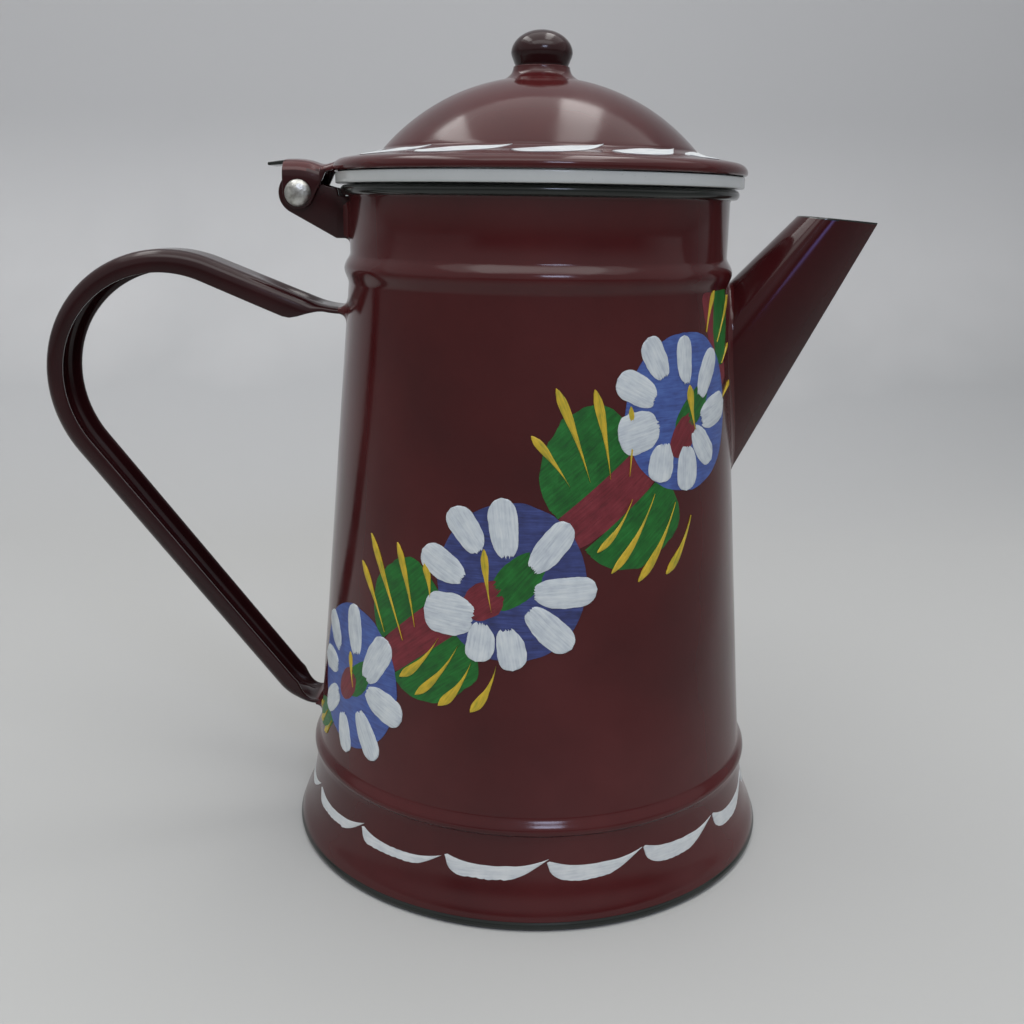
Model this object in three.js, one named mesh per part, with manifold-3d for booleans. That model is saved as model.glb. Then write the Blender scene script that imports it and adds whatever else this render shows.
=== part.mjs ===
// Enamel coffee pot with a hinged lid, built as separate pieces of enamelled steel sheet.
// Millimetres, +Z up. The origin lies on the pot's axis, level with the edge of the foot.
// The spout points along +X. The handle and the hinge lie towards -X, with the hinge pin along Y.

import * as THREE from "three";
import { mergeVertices } from "three/addons/utils/BufferGeometryUtils.js";
import Module from "manifold-3d";

const wasm = await Module();
wasm.setup();

// Sheet, gaps and roundness
const sheet = 1.2;
const seatGap = 0.3;
const overrun = 6;
const largeSides = 36;
const smallSides = 20;
const cutSides = 8;

// Body: its height, its radii at both ends of the cone, and what stands out from them
const rimTopHeight = 188.8;
const coneFootRadius = 64.55;
const coneTopRadius = 53.35;
const bodyTailHeight = 14;
const lowerBeadHeight = 26;
const lowerBeadSpan = 7;
const lowerBeadStand = 1.85;
const upperBeadDrop = 22.2;
const upperBeadSpan = 8;
const upperBeadStand = 1.7;
const neckStep = 0.55;
const rimStand = 2.4;
const rimRoll = 2.7;
const lipTurn = 45;
const beadRadiusShares = [0, 0.6, 1, 0.6, 0];

// Foot
const footTopStand = 1.05;
const footTopHeight = 22.4;
const footSpread = 5.7;
const footRoll = 2.8;
const footRollTurn = 30;
const footFlareRadiusShares = [0.8, 0.47, 0.2, 0.06];
const footFlareHeightShares = [0.1, 0.32, 0.58, 0.82];

// Spout
const spoutLipDrop = 6.4;
const spoutLipFall = 1.6;
const spoutLipReach = 17.6;
const spoutLipDepth = 22.3;
const spoutLipWidth = 19;
const spoutRootDrop = 4.4;
const spoutRootDepth = 53.8;
const spoutRootWidth = 29;
const spoutCornerShare = 0.27;
const spoutBackSteps = 4;
const spoutSideShares = [0.3, 0.6, 0.85];
const spoutSidePower = 1.7;

// Strainer holes through the wall behind the spout
const strainerHoleRadius = 2.1;
const strainerRise = 12.6;
const strainerRowPitch = 8;
const strainerColumnPitch = 8;
const strainerRowCounts = [1, 2, 3, 2, 3];

// Handle
const strapWidth = 17.5;
const strapLowerWidth = 13.5;
const strapDepth = 7.2;
const strapLowerDepth = 5.6;
const strapDepthShare = 0.45;
const strapCorner = 3.6;
const strapEndDepth = 1.8;
const archRadius = 36.4;
const archReach = 51.85;
const archDrop = 21.2;
const upperTongueDrop = 11;
const upperTongueReach = 5.43;
const upperBendRadius = 24;
const lowerTongueHeight = 33.6;
const lowerTongueReach = 8.7;
const lowerBendRadius = 15;
const upperTongueFlat = 7;
const lowerTongueFlat = 3.5;
const tongueRamp = 7;
const stationPitch = 4;
const bendStep = 13;

// Hinge
const pinReach = 11;
const pinDrop = 2.3;
const pinRadius = 1.6;
const pinPlay = 0.06;
const rivetHeadRadius = 3.65;
const rivetHeadHeight = 2.1;
const rivetHeadSteps = 4;
const earRadius = 5.8;
const earOuterWidth = 13;
const earThickness = 1.5;
const earDepth = 12;
const earLowerSlope = 27.5;
const earShoulderTurn = 45;
const earShoulderDrop = 2.3;
const earShoulderReach = 2.2;
const cheekRadius = 4.3;
const cheekThickness = 1.5;
const cheekTurn = 150;
const leafThickness = 1.3;
const leafRise = 8.9;
const leafDip = 7.2;
const leafDipReach = 3.1;
const leafRootRise = 7.9;
const tabLength = 4.4;
const tabDrop = 0.8;
const tabWidth = 11;
const tabThickness = 1;

// Lid
const collarPlay = 0.7;
const collarDepth = 8.5;
const bandStand = 1.2;
const bandHeight = 3;
const brimStand = 1.9;
const brimEdgeHeight = 3.3;
const brimEdgeRound = 2;
const brimEdgeTurn = 80;
const brimRise = 1.2;
const brimWidth = 9.5;
const domeInset = 13.5;
const domeRadius = 57.9;
const domeCrownHeight = 28.9;
const domeSteps = 6;
const domeTopRadius = 10.6;
const knobNeckRadius = 8;
const knobNeckHeight = 2.6;
const knobNeckFilletShare = 0.35;

// Knob
const knobRadius = 8.4;
const knobHeight = 9.2;
const knobFootRadius = 6.6;
const knobSteps = 6;
const knobRivetRadius = 2;
const knobRivetHeadRadius = 4.4;
const knobRivetHeadHeight = 1.6;
const knobRivetReach = 4;
const knobBoreDepth = 4.6;

// Finishes
const maroonEnamel = () => new THREE.MeshStandardMaterial({ color: 0x482828, roughness: 0.2, metalness: 0 });
const whiteEnamel = () => new THREE.MeshStandardMaterial({ color: 0xd8dad8, roughness: 0.2, metalness: 0 });
const bareSteel = () => new THREE.MeshStandardMaterial({ color: 0xb9bab6, roughness: 0.35, metalness: 1 });

const radians = THREE.MathUtils.degToRad;

// Points of a circular arc in a plane, from one angle in degrees to another.
function arc(centreX, centreY, radius, from, to, steps) {
  const points = [];
  for (let step = 0; step <= steps; step += 1) {
    const angle = radians(from + ((to - from) * step) / steps);
    points.push([centreX + radius * Math.cos(angle), centreY + radius * Math.sin(angle)]);
  }
  return points;
}

// A solid turned round the Z axis from an outline of [radius, height] points, taken anticlockwise.
function turned(outline, sides) {
  const points = outline.map(([radius, height]) => new THREE.Vector2(radius, height));
  const geometry = new THREE.LatheGeometry(points, sides);
  geometry.rotateX(Math.PI / 2);
  return geometry;
}

function turnedRing(outline, sides) {
  return turned([...outline, outline[0]], sides);
}

// A plate of the given width, centred on Y, from a side view of [x, z] points.
function plate(outline, width) {
  const shape = new THREE.Shape(outline.map(([x, z]) => new THREE.Vector2(x, z)));
  const geometry = new THREE.ExtrudeGeometry(shape, { depth: width, bevelEnabled: false });
  geometry.rotateX(Math.PI / 2);
  geometry.translate(0, width / 2, 0);
  return geometry;
}

// A round bar along Y through the given point of the side view.
function crossBar(x, z, radius, length, sides) {
  const geometry = new THREE.CylinderGeometry(radius, radius, length, sides);
  geometry.translate(x, 0, z);
  return geometry;
}

// A closed mesh as a solid for joining and cutting.
function solidOf(geometry) {
  const bare = geometry.clone();
  bare.deleteAttribute("normal");
  bare.deleteAttribute("uv");
  const merged = mergeVertices(bare);
  const corners = Array.from(merged.index.array);
  const triVerts = [];
  for (let first = 0; first < corners.length; first += 3) {
    const [a, b, c] = corners.slice(first, first + 3);
    if (a !== b && b !== c && c !== a) {
      triVerts.push(a, b, c);
    }
  }
  const mesh = new wasm.Mesh({
    numProp: 3,
    vertProperties: merged.attributes.position.array,
    triVerts: Uint32Array.from(triVerts),
  });
  return new wasm.Manifold(mesh);
}

function geometryOf(solid) {
  const mesh = solid.getMesh();
  const geometry = new THREE.BufferGeometry();
  geometry.setAttribute("position", new THREE.BufferAttribute(mesh.vertProperties, 3));
  geometry.setIndex(new THREE.BufferAttribute(mesh.triVerts, 1));
  return geometry;
}

// A closed skin over rings of equal count. Each end is closed by a fan round the ring's middle.
function lofted(rings) {
  const positions = rings.flat().flatMap((point) => [point.x, point.y, point.z]);
  const count = rings[0].length;
  const corners = [];
  for (let ring = 0; ring + 1 < rings.length; ring += 1) {
    for (let at = 0; at < count; at += 1) {
      const here = ring * count + at;
      const beside = ring * count + ((at + 1) % count);
      corners.push(here, beside, beside + count, here, beside + count, here + count);
    }
  }
  for (const [ring, facing] of [[0, -1], [rings.length - 1, 1]]) {
    const middle = new THREE.Vector3();
    rings[ring].forEach((point) => middle.addScaledVector(point, 1 / count));
    const centre = positions.length / 3;
    positions.push(middle.x, middle.y, middle.z);
    for (let at = 0; at < count; at += 1) {
      const here = ring * count + at;
      const beside = ring * count + ((at + 1) % count);
      corners.push(...(facing > 0 ? [here, beside, centre] : [beside, here, centre]));
    }
  }
  const geometry = new THREE.BufferGeometry();
  geometry.setAttribute("position", new THREE.Float32BufferAttribute(positions, 3));
  geometry.setIndex(corners);
  return geometry;
}

function piece(name, geometry, material) {
  const mesh = new THREE.Mesh(geometry, material);
  mesh.name = name;
  return mesh;
}

// Heights and radii that several pieces share
const neckRadius = coneTopRadius - neckStep;
const rimRadius = neckRadius + rimStand;
const lowerBeadRadius = coneFootRadius + lowerBeadStand;
const upperBeadRadius = neckRadius + upperBeadStand;
const upperBeadHeight = rimTopHeight - upperBeadDrop;
const coneFootHeight = lowerBeadHeight + lowerBeadSpan / 2;
const coneTopHeight = upperBeadHeight - upperBeadSpan / 2;
const neckFootHeight = upperBeadHeight + upperBeadSpan / 2;
const footTopRadius = coneFootRadius + footTopStand;
const footRadius = footTopRadius + footSpread;
const bodyTailRadius = footTopRadius - sheet - seatGap;
const spoutRootHigh = upperBeadHeight - spoutRootDrop;
const spoutRootLow = spoutRootHigh - spoutRootDepth;
const pinX = -(rimRadius + pinReach);
const pinHeight = rimTopHeight - pinDrop;
const leafWidth = earOuterWidth + 2 * (seatGap + cheekThickness);
const lidSeatHeight = rimTopHeight + seatGap;
const brimRadius = rimRadius + brimStand;
const leafDipX = -(brimRadius + leafDipReach);
const brimFootHeight = lidSeatHeight + bandHeight + seatGap;
const brimTopHeight = brimFootHeight + brimEdgeHeight;
const brimInnerRadius = brimRadius - brimWidth;
const domeFootRadius = brimRadius - domeInset;
const domeCentreHeight = lidSeatHeight + domeCrownHeight - domeRadius;
const knobNeckTop = domeCentreHeight + domeRadius + knobNeckHeight;

function coneRadius(height) {
  const share = (height - coneFootHeight) / (coneTopHeight - coneFootHeight);
  return THREE.MathUtils.lerp(coneFootRadius, coneTopRadius, share);
}

// The pressed bead between two heights, whose radius leaves one wall line and returns to the other.
function bead(lowHeight, lowRadius, highHeight, highRadius, crest, inset) {
  return beadRadiusShares.map((share, index) => {
    const along = index / (beadRadiusShares.length - 1);
    const wall = THREE.MathUtils.lerp(lowRadius, highRadius, along);
    const height = THREE.MathUtils.lerp(lowHeight, highHeight, along);
    return [wall + share * (crest - wall) - inset, height];
  });
}

// Outline of the body's sheet from its tail up to the rim, moved inwards by the inset.
function bodySide(inset) {
  const beadFoot = lowerBeadHeight - lowerBeadSpan / 2;
  return [
    [bodyTailRadius - inset, bodyTailHeight],
    ...bead(beadFoot, bodyTailRadius, coneFootHeight, coneFootRadius, lowerBeadRadius, inset),
    ...bead(coneTopHeight, coneTopRadius, neckFootHeight, neckRadius, upperBeadRadius, inset),
  ];
}

function bodyOutline() {
  const rollRadius = rimRoll / 2;
  const rollR = rimRadius - rollRadius;
  const rollZ = rimTopHeight - rollRadius;
  const lipRound = rollR - (neckRadius - sheet);
  return [
    ...bodySide(0),
    [neckRadius, rimTopHeight - rimRoll],
    ...arc(rollR, rollZ, rollRadius, -90, 90, 4),
    ...arc(rollR, rimTopHeight - lipRound, lipRound, 180 - lipTurn, 180, 1),
    ...bodySide(sheet).reverse(),
  ];
}

// The space of the body up to its outer face, widened by the gap that welded pieces keep.
function bodyCutter() {
  const outline = [
    [0, -overrun],
    [footRadius, -overrun],
    [coneRadius(0) + seatGap, 0],
    [coneTopRadius + seatGap, coneTopHeight],
    [upperBeadRadius + seatGap, upperBeadHeight],
    [neckRadius + seatGap, neckFootHeight],
    [neckRadius + seatGap, rimTopHeight],
    [0, rimTopHeight],
  ];
  return solidOf(turned(outline, largeSides));
}

// Rows of holes on a staggered pitch, drilled outwards along +X through the cone.
function strainerHoles() {
  const holes = [];
  strainerRowCounts.forEach((count, row) => {
    for (let column = 0; column < count; column += 1) {
      const reach = coneFootRadius;
      const hole = new THREE.CylinderGeometry(strainerHoleRadius, strainerHoleRadius, reach, cutSides);
      hole.rotateZ(Math.PI / 2);
      const across = (column - (count - 1) / 2) * strainerColumnPitch;
      hole.translate(coneFootRadius, across, spoutRootLow + strainerRise + row * strainerRowPitch);
      holes.push(solidOf(hole));
    }
  });
  return holes;
}

function bodyShell() {
  let shell = solidOf(turnedRing(bodyOutline(), largeSides));
  for (const hole of strainerHoles()) {
    shell = shell.subtract(hole);
  }
  return piece("body_shell", geometryOf(shell), maroonEnamel());
}

function footSide(inset) {
  const flare = footFlareRadiusShares.map((share, index) => {
    const radius = THREE.MathUtils.lerp(footTopRadius, footRadius, share) - inset;
    const height = THREE.MathUtils.lerp(footRoll, footTopHeight, footFlareHeightShares[index]);
    return [radius, height];
  });
  return [...flare, [footTopRadius - inset, footTopHeight]];
}

function footSkirt() {
  const rollRadius = footRoll / 2;
  const rollR = footRadius - rollRadius;
  const outline = [
    [rollR - rollRadius, rollRadius],
    [rollR - rollRadius / 2, 0],
    [rollR + rollRadius / 2, 0],
    ...arc(rollR, rollRadius, rollRadius, -footRollTurn, 90 - footRollTurn, 3),
    ...footSide(0),
    ...footSide(sheet).reverse(),
    [rollR - rollRadius, footRoll],
  ];
  return piece("foot_skirt", turnedRing(outline, largeSides), maroonEnamel());
}

// The flat bottom, with its edge turned up inside the rolled edge of the foot.
function bottomPlate() {
  const edge = footRadius - footRoll - seatGap;
  const outline = [
    [0, 0],
    [edge - sheet, 0],
    [edge, sheet],
    [edge, footRoll],
    [edge - sheet, footRoll],
    [edge - 2 * sheet, sheet],
    [0, sheet],
  ];
  return piece("bottom_plate", turned(outline, largeSides), maroonEnamel());
}

// Half of the spout's section, from its rounded back to the fold along its front:
// shares along the section and shares of its half width.
function spoutSection() {
  const section = [];
  for (let step = 0; step <= spoutBackSteps; step += 1) {
    const angle = (Math.PI / 2) * (step / spoutBackSteps);
    section.push([spoutCornerShare * (1 - Math.cos(angle)), Math.sin(angle)]);
  }
  for (const share of [...spoutSideShares, 1]) {
    section.push([THREE.MathUtils.lerp(spoutCornerShare, 1, share), 1 - share ** spoutSidePower]);
  }
  return section;
}

// One ring of the spout between a back point and a front point in the pot's middle plane.
function spoutRing(back, front, width) {
  const half = spoutSection();
  const place = ([along, across], side) => {
    const point = new THREE.Vector3().lerpVectors(back, front, along);
    point.y = (side * across * width) / 2;
    return point;
  };
  const near = half.map((share) => place(share, -1));
  const far = half.slice(1, -1).reverse().map((share) => place(share, 1));
  return [...near, ...far];
}

// The spout's tapered form, drawn in by the inset and running on past both ends by the overrun.
function spoutForm(inset, past) {
  const lipBackX = rimRadius + spoutLipReach;
  const lipHeight = rimTopHeight - spoutLipDrop;
  const lipBack = new THREE.Vector3(lipBackX + inset, 0, lipHeight);
  const lipFront = new THREE.Vector3(lipBackX + spoutLipDepth - inset, 0, lipHeight - spoutLipFall);
  const rootBack = new THREE.Vector3(coneRadius(spoutRootHigh), 0, spoutRootHigh - inset);
  const rootFront = new THREE.Vector3(coneRadius(spoutRootLow), 0, spoutRootLow + inset);
  const lip = spoutRing(lipBack, lipFront, spoutLipWidth - 2 * inset);
  const root = spoutRing(rootBack, rootFront, spoutRootWidth - 2 * inset);
  const beyond = (from, to, index, distance) => {
    const reach = to[index].distanceTo(from[index]);
    return new THREE.Vector3().lerpVectors(from[index], to[index], 1 + distance / reach);
  };
  const inner = root.map((_, index) => beyond(lip, root, index, 2 * overrun + past));
  const outer = lip.map((_, index) => beyond(root, lip, index, past));
  return solidOf(lofted([inner, outer]));
}

function spoutShell(bodySpace) {
  const shell = spoutForm(0, 0).subtract(spoutForm(sheet, overrun)).subtract(bodySpace);
  return piece("spout_shell", geometryOf(shell), maroonEnamel());
}

// Route of the strap's outer face in the middle plane, as points with their outward angle in degrees.
// Each straight run leaves the arch at a tangent and meets a tongue at its corner.
function strapRoute() {
  const upperTongueHeight = upperBeadHeight - upperTongueDrop;
  const archX = -(coneTopRadius + archReach);
  const archHeight = upperTongueHeight - archDrop;
  const wallX = (height) => -coneRadius(height);
  const tangentAngle = (cornerX, cornerZ, side) => {
    const reach = Math.hypot(cornerX - archX, cornerZ - archHeight);
    const bearing = Math.atan2(cornerZ - archHeight, cornerX - archX);
    return THREE.MathUtils.radToDeg(bearing + side * Math.acos(archRadius / reach));
  };
  const upperCornerX = wallX(upperTongueHeight) - upperTongueReach;
  const lowerCornerX = wallX(lowerTongueHeight) - lowerTongueReach;
  const upperAngle = tangentAngle(upperCornerX, upperTongueHeight, 1);
  const lowerAngle = 360 + tangentAngle(lowerCornerX, lowerTongueHeight, -1);
  const upperSlope = 90 - upperAngle;
  const lowerSlope = 270 - lowerAngle;
  const bend = (centreX, centreZ, radius, from, to, flip) => {
    const steps = Math.max(2, Math.round(Math.abs(to - from) / bendStep));
    return arc(centreX, centreZ, radius, from, to, steps).map(([x, z], index) => {
      const angle = from + ((to - from) * index) / steps + flip;
      return { x, z, angle };
    });
  };
  const upperBendX = upperCornerX + upperBendRadius * Math.tan(radians(upperSlope) / 2);
  const lowerBendX = lowerCornerX + lowerBendRadius * Math.tan(radians(lowerSlope) / 2);
  return [
    { x: wallX(upperTongueHeight) + sheet, z: upperTongueHeight, angle: 90 },
    ...bend(upperBendX, upperTongueHeight + upperBendRadius, upperBendRadius, 270, 270 - upperSlope, -180),
    ...bend(archX, archHeight, archRadius, upperAngle, lowerAngle, 0),
    ...bend(lowerBendX, lowerTongueHeight + lowerBendRadius, lowerBendRadius, lowerAngle, 270, 0),
    { x: wallX(lowerTongueHeight) + sheet, z: lowerTongueHeight, angle: 270 },
  ];
}

// The strap's section: its outer line and its inner line, from one edge to the other.
function strapSection(width, depth) {
  const half = width / 2;
  const rise = Math.min(strapCorner, depth - strapEndDepth / 3);
  const innerRise = Math.max(rise - sheet, (depth - sheet) / 2);
  const outer = [[half, depth], ...arc(0, 0, 1, 0, 90, 3).map(([c, s]) => [
    half - strapCorner * (1 - c),
    rise * (1 - s),
  ])];
  const inner = [[half - sheet, depth], ...arc(0, 0, 1, 0, 90, 3).map(([c, s]) => [
    half - sheet - (strapCorner - sheet) * (1 - c),
    sheet + innerRise * (1 - s),
  ])];
  const mirrored = (line) => [...line, ...line.map(([across, down]) => [-across, down]).reverse()];
  return { outer: mirrored(outer), inner: mirrored(inner) };
}

// The strap narrows and gets shallower on its way down, and it ends in a flat tongue at both ends.
function strapWidthAt(distance, total) {
  return THREE.MathUtils.lerp(strapWidth, strapLowerWidth, distance / total);
}

function strapDepthAt(distance, total) {
  const down = THREE.MathUtils.smoothstep(distance / total, 0, strapDepthShare);
  const full = THREE.MathUtils.lerp(strapDepth, strapLowerDepth, down);
  const upper = THREE.MathUtils.smoothstep(distance - upperTongueFlat, 0, tongueRamp);
  const lower = THREE.MathUtils.smoothstep(total - distance - lowerTongueFlat, 0, tongueRamp);
  return THREE.MathUtils.lerp(strapEndDepth, full, Math.min(upper, lower));
}

// Stations along the route, with extra ones on its longer straight runs.
function strapStations() {
  const route = strapRoute();
  const stations = [route[0]];
  for (let index = 1; index < route.length; index += 1) {
    const from = route[index - 1];
    const to = route[index];
    const run = Math.hypot(to.x - from.x, to.z - from.z);
    const parts = Math.max(1, Math.round(run / stationPitch));
    for (let part = 1; part <= parts; part += 1) {
      const share = part / parts;
      stations.push({
        x: THREE.MathUtils.lerp(from.x, to.x, share),
        z: THREE.MathUtils.lerp(from.z, to.z, share),
        angle: THREE.MathUtils.lerp(from.angle, to.angle, share),
      });
    }
  }
  let distance = 0;
  stations.forEach((station, index) => {
    if (index > 0) {
      distance += Math.hypot(station.x - stations[index - 1].x, station.z - stations[index - 1].z);
    }
    station.distance = distance;
  });
  return stations;
}

function strapLoft() {
  const stations = strapStations();
  const total = stations[stations.length - 1].distance;
  const positions = [];
  const corners = [];
  let count = 0;
  for (const station of stations) {
    const width = strapWidthAt(station.distance, total);
    const section = strapSection(width, strapDepthAt(station.distance, total));
    const inwardX = -Math.cos(radians(station.angle));
    const inwardZ = -Math.sin(radians(station.angle));
    for (const [across, down] of [...section.outer, ...section.inner.reverse()]) {
      positions.push(station.x + inwardX * down, across, station.z + inwardZ * down);
    }
    count = 2 * section.outer.length;
  }
  const last = (stations.length - 1) * count;
  for (let ring = 0; ring < last; ring += count) {
    for (let at = 0; at < count; at += 1) {
      const here = ring + at;
      const beside = ring + ((at + 1) % count);
      corners.push(here, here + count, beside + count, here, beside + count, beside);
    }
  }
  for (let at = 0; at + 1 < count / 2; at += 1) {
    const across = count - 1 - at;
    corners.push(at, at + 1, across - 1, at, across - 1, across);
    corners.push(last + at, last + across - 1, last + at + 1, last + at, last + across, last + across - 1);
  }
  const geometry = new THREE.BufferGeometry();
  geometry.setAttribute("position", new THREE.Float32BufferAttribute(positions, 3));
  geometry.setIndex(corners);
  return solidOf(geometry);
}

function handleStrap(bodySpace) {
  return piece("handle_strap", geometryOf(strapLoft().subtract(bodySpace)), maroonEnamel());
}

// The hole that a turning piece has round the pin, wide enough for the pin's corners.
function pinHole() {
  const holeRadius = (pinRadius + pinPlay) / Math.cos(Math.PI / smallSides);
  return solidOf(crossBar(pinX, pinHeight, holeRadius, 2 * leafWidth, smallSides));
}

// Side view of the ears: a round end about the pin, a sloping lower edge and a shoulder under the rim.
function earOutline() {
  const lowerAngle = 270 - earLowerSlope;
  const footHeight = pinHeight - earDepth;
  const shoulderHeight = pinHeight - earShoulderDrop;
  const [lowX, lowZ] = arc(pinX, pinHeight, earRadius, lowerAngle, lowerAngle, 1)[0];
  const footX = lowX + (lowZ - footHeight) / Math.tan(radians(earLowerSlope));
  return [
    [0, footHeight],
    [0, shoulderHeight],
    [-(rimRadius + earShoulderReach), shoulderHeight],
    ...arc(pinX, pinHeight, earRadius, earShoulderTurn, lowerAngle, 9),
    [footX, footHeight],
  ];
}

function hingeBracket(bodySpace) {
  const backRadius = neckRadius + seatGap + sheet;
  const backSide = [[0, 0], [backRadius, 0], [backRadius, rimTopHeight], [0, rimTopHeight]];
  const innerWidth = earOuterWidth - 2 * earThickness;
  const farX = pinX - 2 * earRadius;
  const slotTop = pinHeight + 2 * earRadius;
  const slot = solidOf(plate([[farX, 0], [0, 0], [0, slotTop], [farX, slotTop]], innerWidth));
  const block = solidOf(plate(earOutline(), earOuterWidth));
  const betweenEars = slot.subtract(solidOf(turned(backSide, largeSides)));
  const bracket = block.subtract(betweenEars).subtract(bodySpace).subtract(pinHole());
  return piece("hinge_bracket", geometryOf(bracket), maroonEnamel());
}

// The rivet lies along the pin's axis, turned about Z and then laid along Y.
function hingeRivet() {
  const shank = leafWidth / 2 + pinPlay;
  const dome = (steps) => {
    const points = [];
    for (let step = 0; step <= steps; step += 1) {
      const angle = (Math.PI / 2) * (step / steps);
      points.push([rivetHeadRadius * Math.cos(angle), shank + rivetHeadHeight * Math.sin(angle)]);
    }
    points[points.length - 1][0] = 0;
    return points;
  };
  const upper = [[pinRadius, shank], ...dome(rivetHeadSteps)];
  const lower = upper.map(([radius, height]) => [radius, -height]).reverse();
  const geometry = turned([...lower, ...upper], smallSides);
  geometry.rotateX(Math.PI / 2);
  geometry.translate(pinX, 0, pinHeight);
  return piece("hinge_rivet", geometry, bareSteel());
}

// Side view of the leaf's top plate, from the lid's edge over the pin to the thumb tab.
function leafPlateOutline() {
  const tailX = pinX - cheekRadius;
  const under = (rise) => pinHeight + rise - leafThickness;
  return [
    [0, pinHeight + leafRootRise],
    [-brimRadius, pinHeight + leafRootRise],
    [leafDipX, pinHeight + leafDip],
    [pinX, pinHeight + leafRise],
    [tailX, pinHeight + leafRise],
    [tailX, under(leafRise)],
    [pinX, under(leafRise)],
    [leafDipX, under(leafDip)],
    [-brimRadius, under(leafRootRise)],
    [0, under(leafRootRise)],
  ];
}

function cheekOutline() {
  const topHeight = pinHeight + leafRise - leafThickness / 2;
  return [
    [pinX - cheekRadius, topHeight],
    ...arc(pinX, pinHeight, cheekRadius, 180, 180 + cheekTurn, 8),
    [leafDipX, pinHeight + leafDip - leafThickness / 2],
    [pinX, topHeight],
  ];
}

function tabOutline() {
  const tailX = pinX - cheekRadius;
  const topHeight = pinHeight + leafRise;
  return [
    [tailX + tabThickness, topHeight],
    [tailX - tabLength, topHeight - tabDrop],
    [tailX - tabLength, topHeight - tabDrop - tabThickness],
    [tailX + tabThickness, topHeight - tabThickness],
  ];
}

function lidHingeLeaf() {
  const edgeRadius = brimRadius + seatGap;
  const edge = [[0, 0], [edgeRadius, 0], [edgeRadius, knobNeckTop], [0, knobNeckTop]];
  let leaf = solidOf(plate(leafPlateOutline(), leafWidth)).add(solidOf(plate(tabOutline(), tabWidth)));
  for (const side of [-1, 1]) {
    const cheek = plate(cheekOutline(), cheekThickness);
    cheek.translate(0, (side * (leafWidth - cheekThickness)) / 2, 0);
    leaf = leaf.add(solidOf(cheek));
  }
  leaf = leaf.subtract(pinHole()).subtract(solidOf(turned(edge, largeSides)));
  return piece("lid_hinge_leaf", geometryOf(leaf), maroonEnamel());
}

// The white ring under the brim: an outer band, a flange over the rim and a collar inside the mouth.
function lidCollar() {
  const flangeTop = lidSeatHeight + sheet;
  const bandTop = lidSeatHeight + bandHeight;
  const collarRadius = neckRadius - sheet - collarPlay;
  const bandRadius = rimRadius + bandStand;
  const inner = collarRadius - sheet;
  const outline = [
    [inner, lidSeatHeight - collarDepth],
    [collarRadius, lidSeatHeight - collarDepth],
    [collarRadius, lidSeatHeight],
    [bandRadius, lidSeatHeight],
    [bandRadius, bandTop],
    [bandRadius - sheet, bandTop],
    [bandRadius - sheet, flangeTop],
    [inner, flangeTop],
  ];
  return piece("lid_collar", turnedRing(outline, largeSides), whiteEnamel());
}

// Points of the dome's arc at a radius of curvature, from its foot up to the neck.
function domeArc(radius) {
  const footAngle = Math.acos(domeFootRadius / domeRadius);
  const topAngle = Math.acos(domeTopRadius / domeRadius);
  const degrees = THREE.MathUtils.radToDeg;
  return arc(0, domeCentreHeight, radius, degrees(footAngle), degrees(topAngle), domeSteps);
}

function lidSide(inset) {
  const round = brimEdgeRound;
  const edge = arc(brimRadius - round, brimTopHeight - round, round - inset, 0, brimEdgeTurn, 2);
  const brimHeight = brimTopHeight + brimRise;
  const neckFoot = THREE.MathUtils.lerp(knobNeckRadius, domeTopRadius, knobNeckFilletShare);
  const crownHeight = domeCentreHeight + domeRadius;
  const coveRadius = THREE.MathUtils.lerp(domeFootRadius, brimInnerRadius, 1 / 2);
  return [
    [brimRadius - inset, brimFootHeight],
    ...edge,
    [brimInnerRadius, brimHeight - inset],
    [coveRadius - inset / 2, brimHeight + sheet / 2 - inset],
    ...domeArc(domeRadius - inset),
    [neckFoot - inset, crownHeight - inset / 2],
    [knobNeckRadius - inset, crownHeight + sheet / 2 - inset / 2],
  ];
}

function lidShell() {
  const bore = knobRivetRadius + seatGap;
  const outline = [
    ...lidSide(0),
    [knobNeckRadius, knobNeckTop],
    [bore, knobNeckTop],
    [bore, knobNeckTop - sheet],
    [knobNeckRadius - sheet, knobNeckTop - sheet],
    ...lidSide(sheet).reverse(),
  ];
  return piece("lid_shell", turnedRing(outline, largeSides), maroonEnamel());
}

function lidKnob() {
  const foot = knobNeckTop + seatGap;
  const middle = foot + knobHeight / 2;
  const footAngle = THREE.MathUtils.radToDeg(Math.acos(knobFootRadius / knobRadius));
  const bulge = arc(0, 0, 1, -footAngle, 90, knobSteps).map(([c, s]) => [
    knobRadius * c,
    middle + (knobHeight / 2) * s,
  ]);
  bulge[bulge.length - 1][0] = 0;
  const bore = knobRivetRadius + seatGap;
  const outline = [
    [0, foot + knobBoreDepth],
    [bore, foot + knobBoreDepth],
    [bore, foot],
    [knobFootRadius, foot],
    ...bulge,
  ];
  return piece("lid_knob", turned(outline, smallSides), maroonEnamel());
}

function knobRivet() {
  const headTop = knobNeckTop - sheet - seatGap;
  const headFoot = headTop - knobRivetHeadHeight;
  const tip = knobNeckTop + seatGap + knobRivetReach;
  const outline = [
    [0, headFoot],
    [knobRivetHeadRadius / 2, headFoot],
    [knobRivetHeadRadius, headFoot + knobRivetHeadHeight / 2],
    [knobRivetHeadRadius, headTop],
    [knobRivetRadius, headTop],
    [knobRivetRadius, tip],
    [0, tip],
  ];
  return piece("knob_rivet", turned(outline, smallSides), bareSteel());
}

const bodySpace = bodyCutter();

const pot = new THREE.Group();
pot.add(bodyShell(), footSkirt(), bottomPlate(), spoutShell(bodySpace), handleStrap(bodySpace));
pot.add(hingeBracket(bodySpace), hingeRivet());

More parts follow.
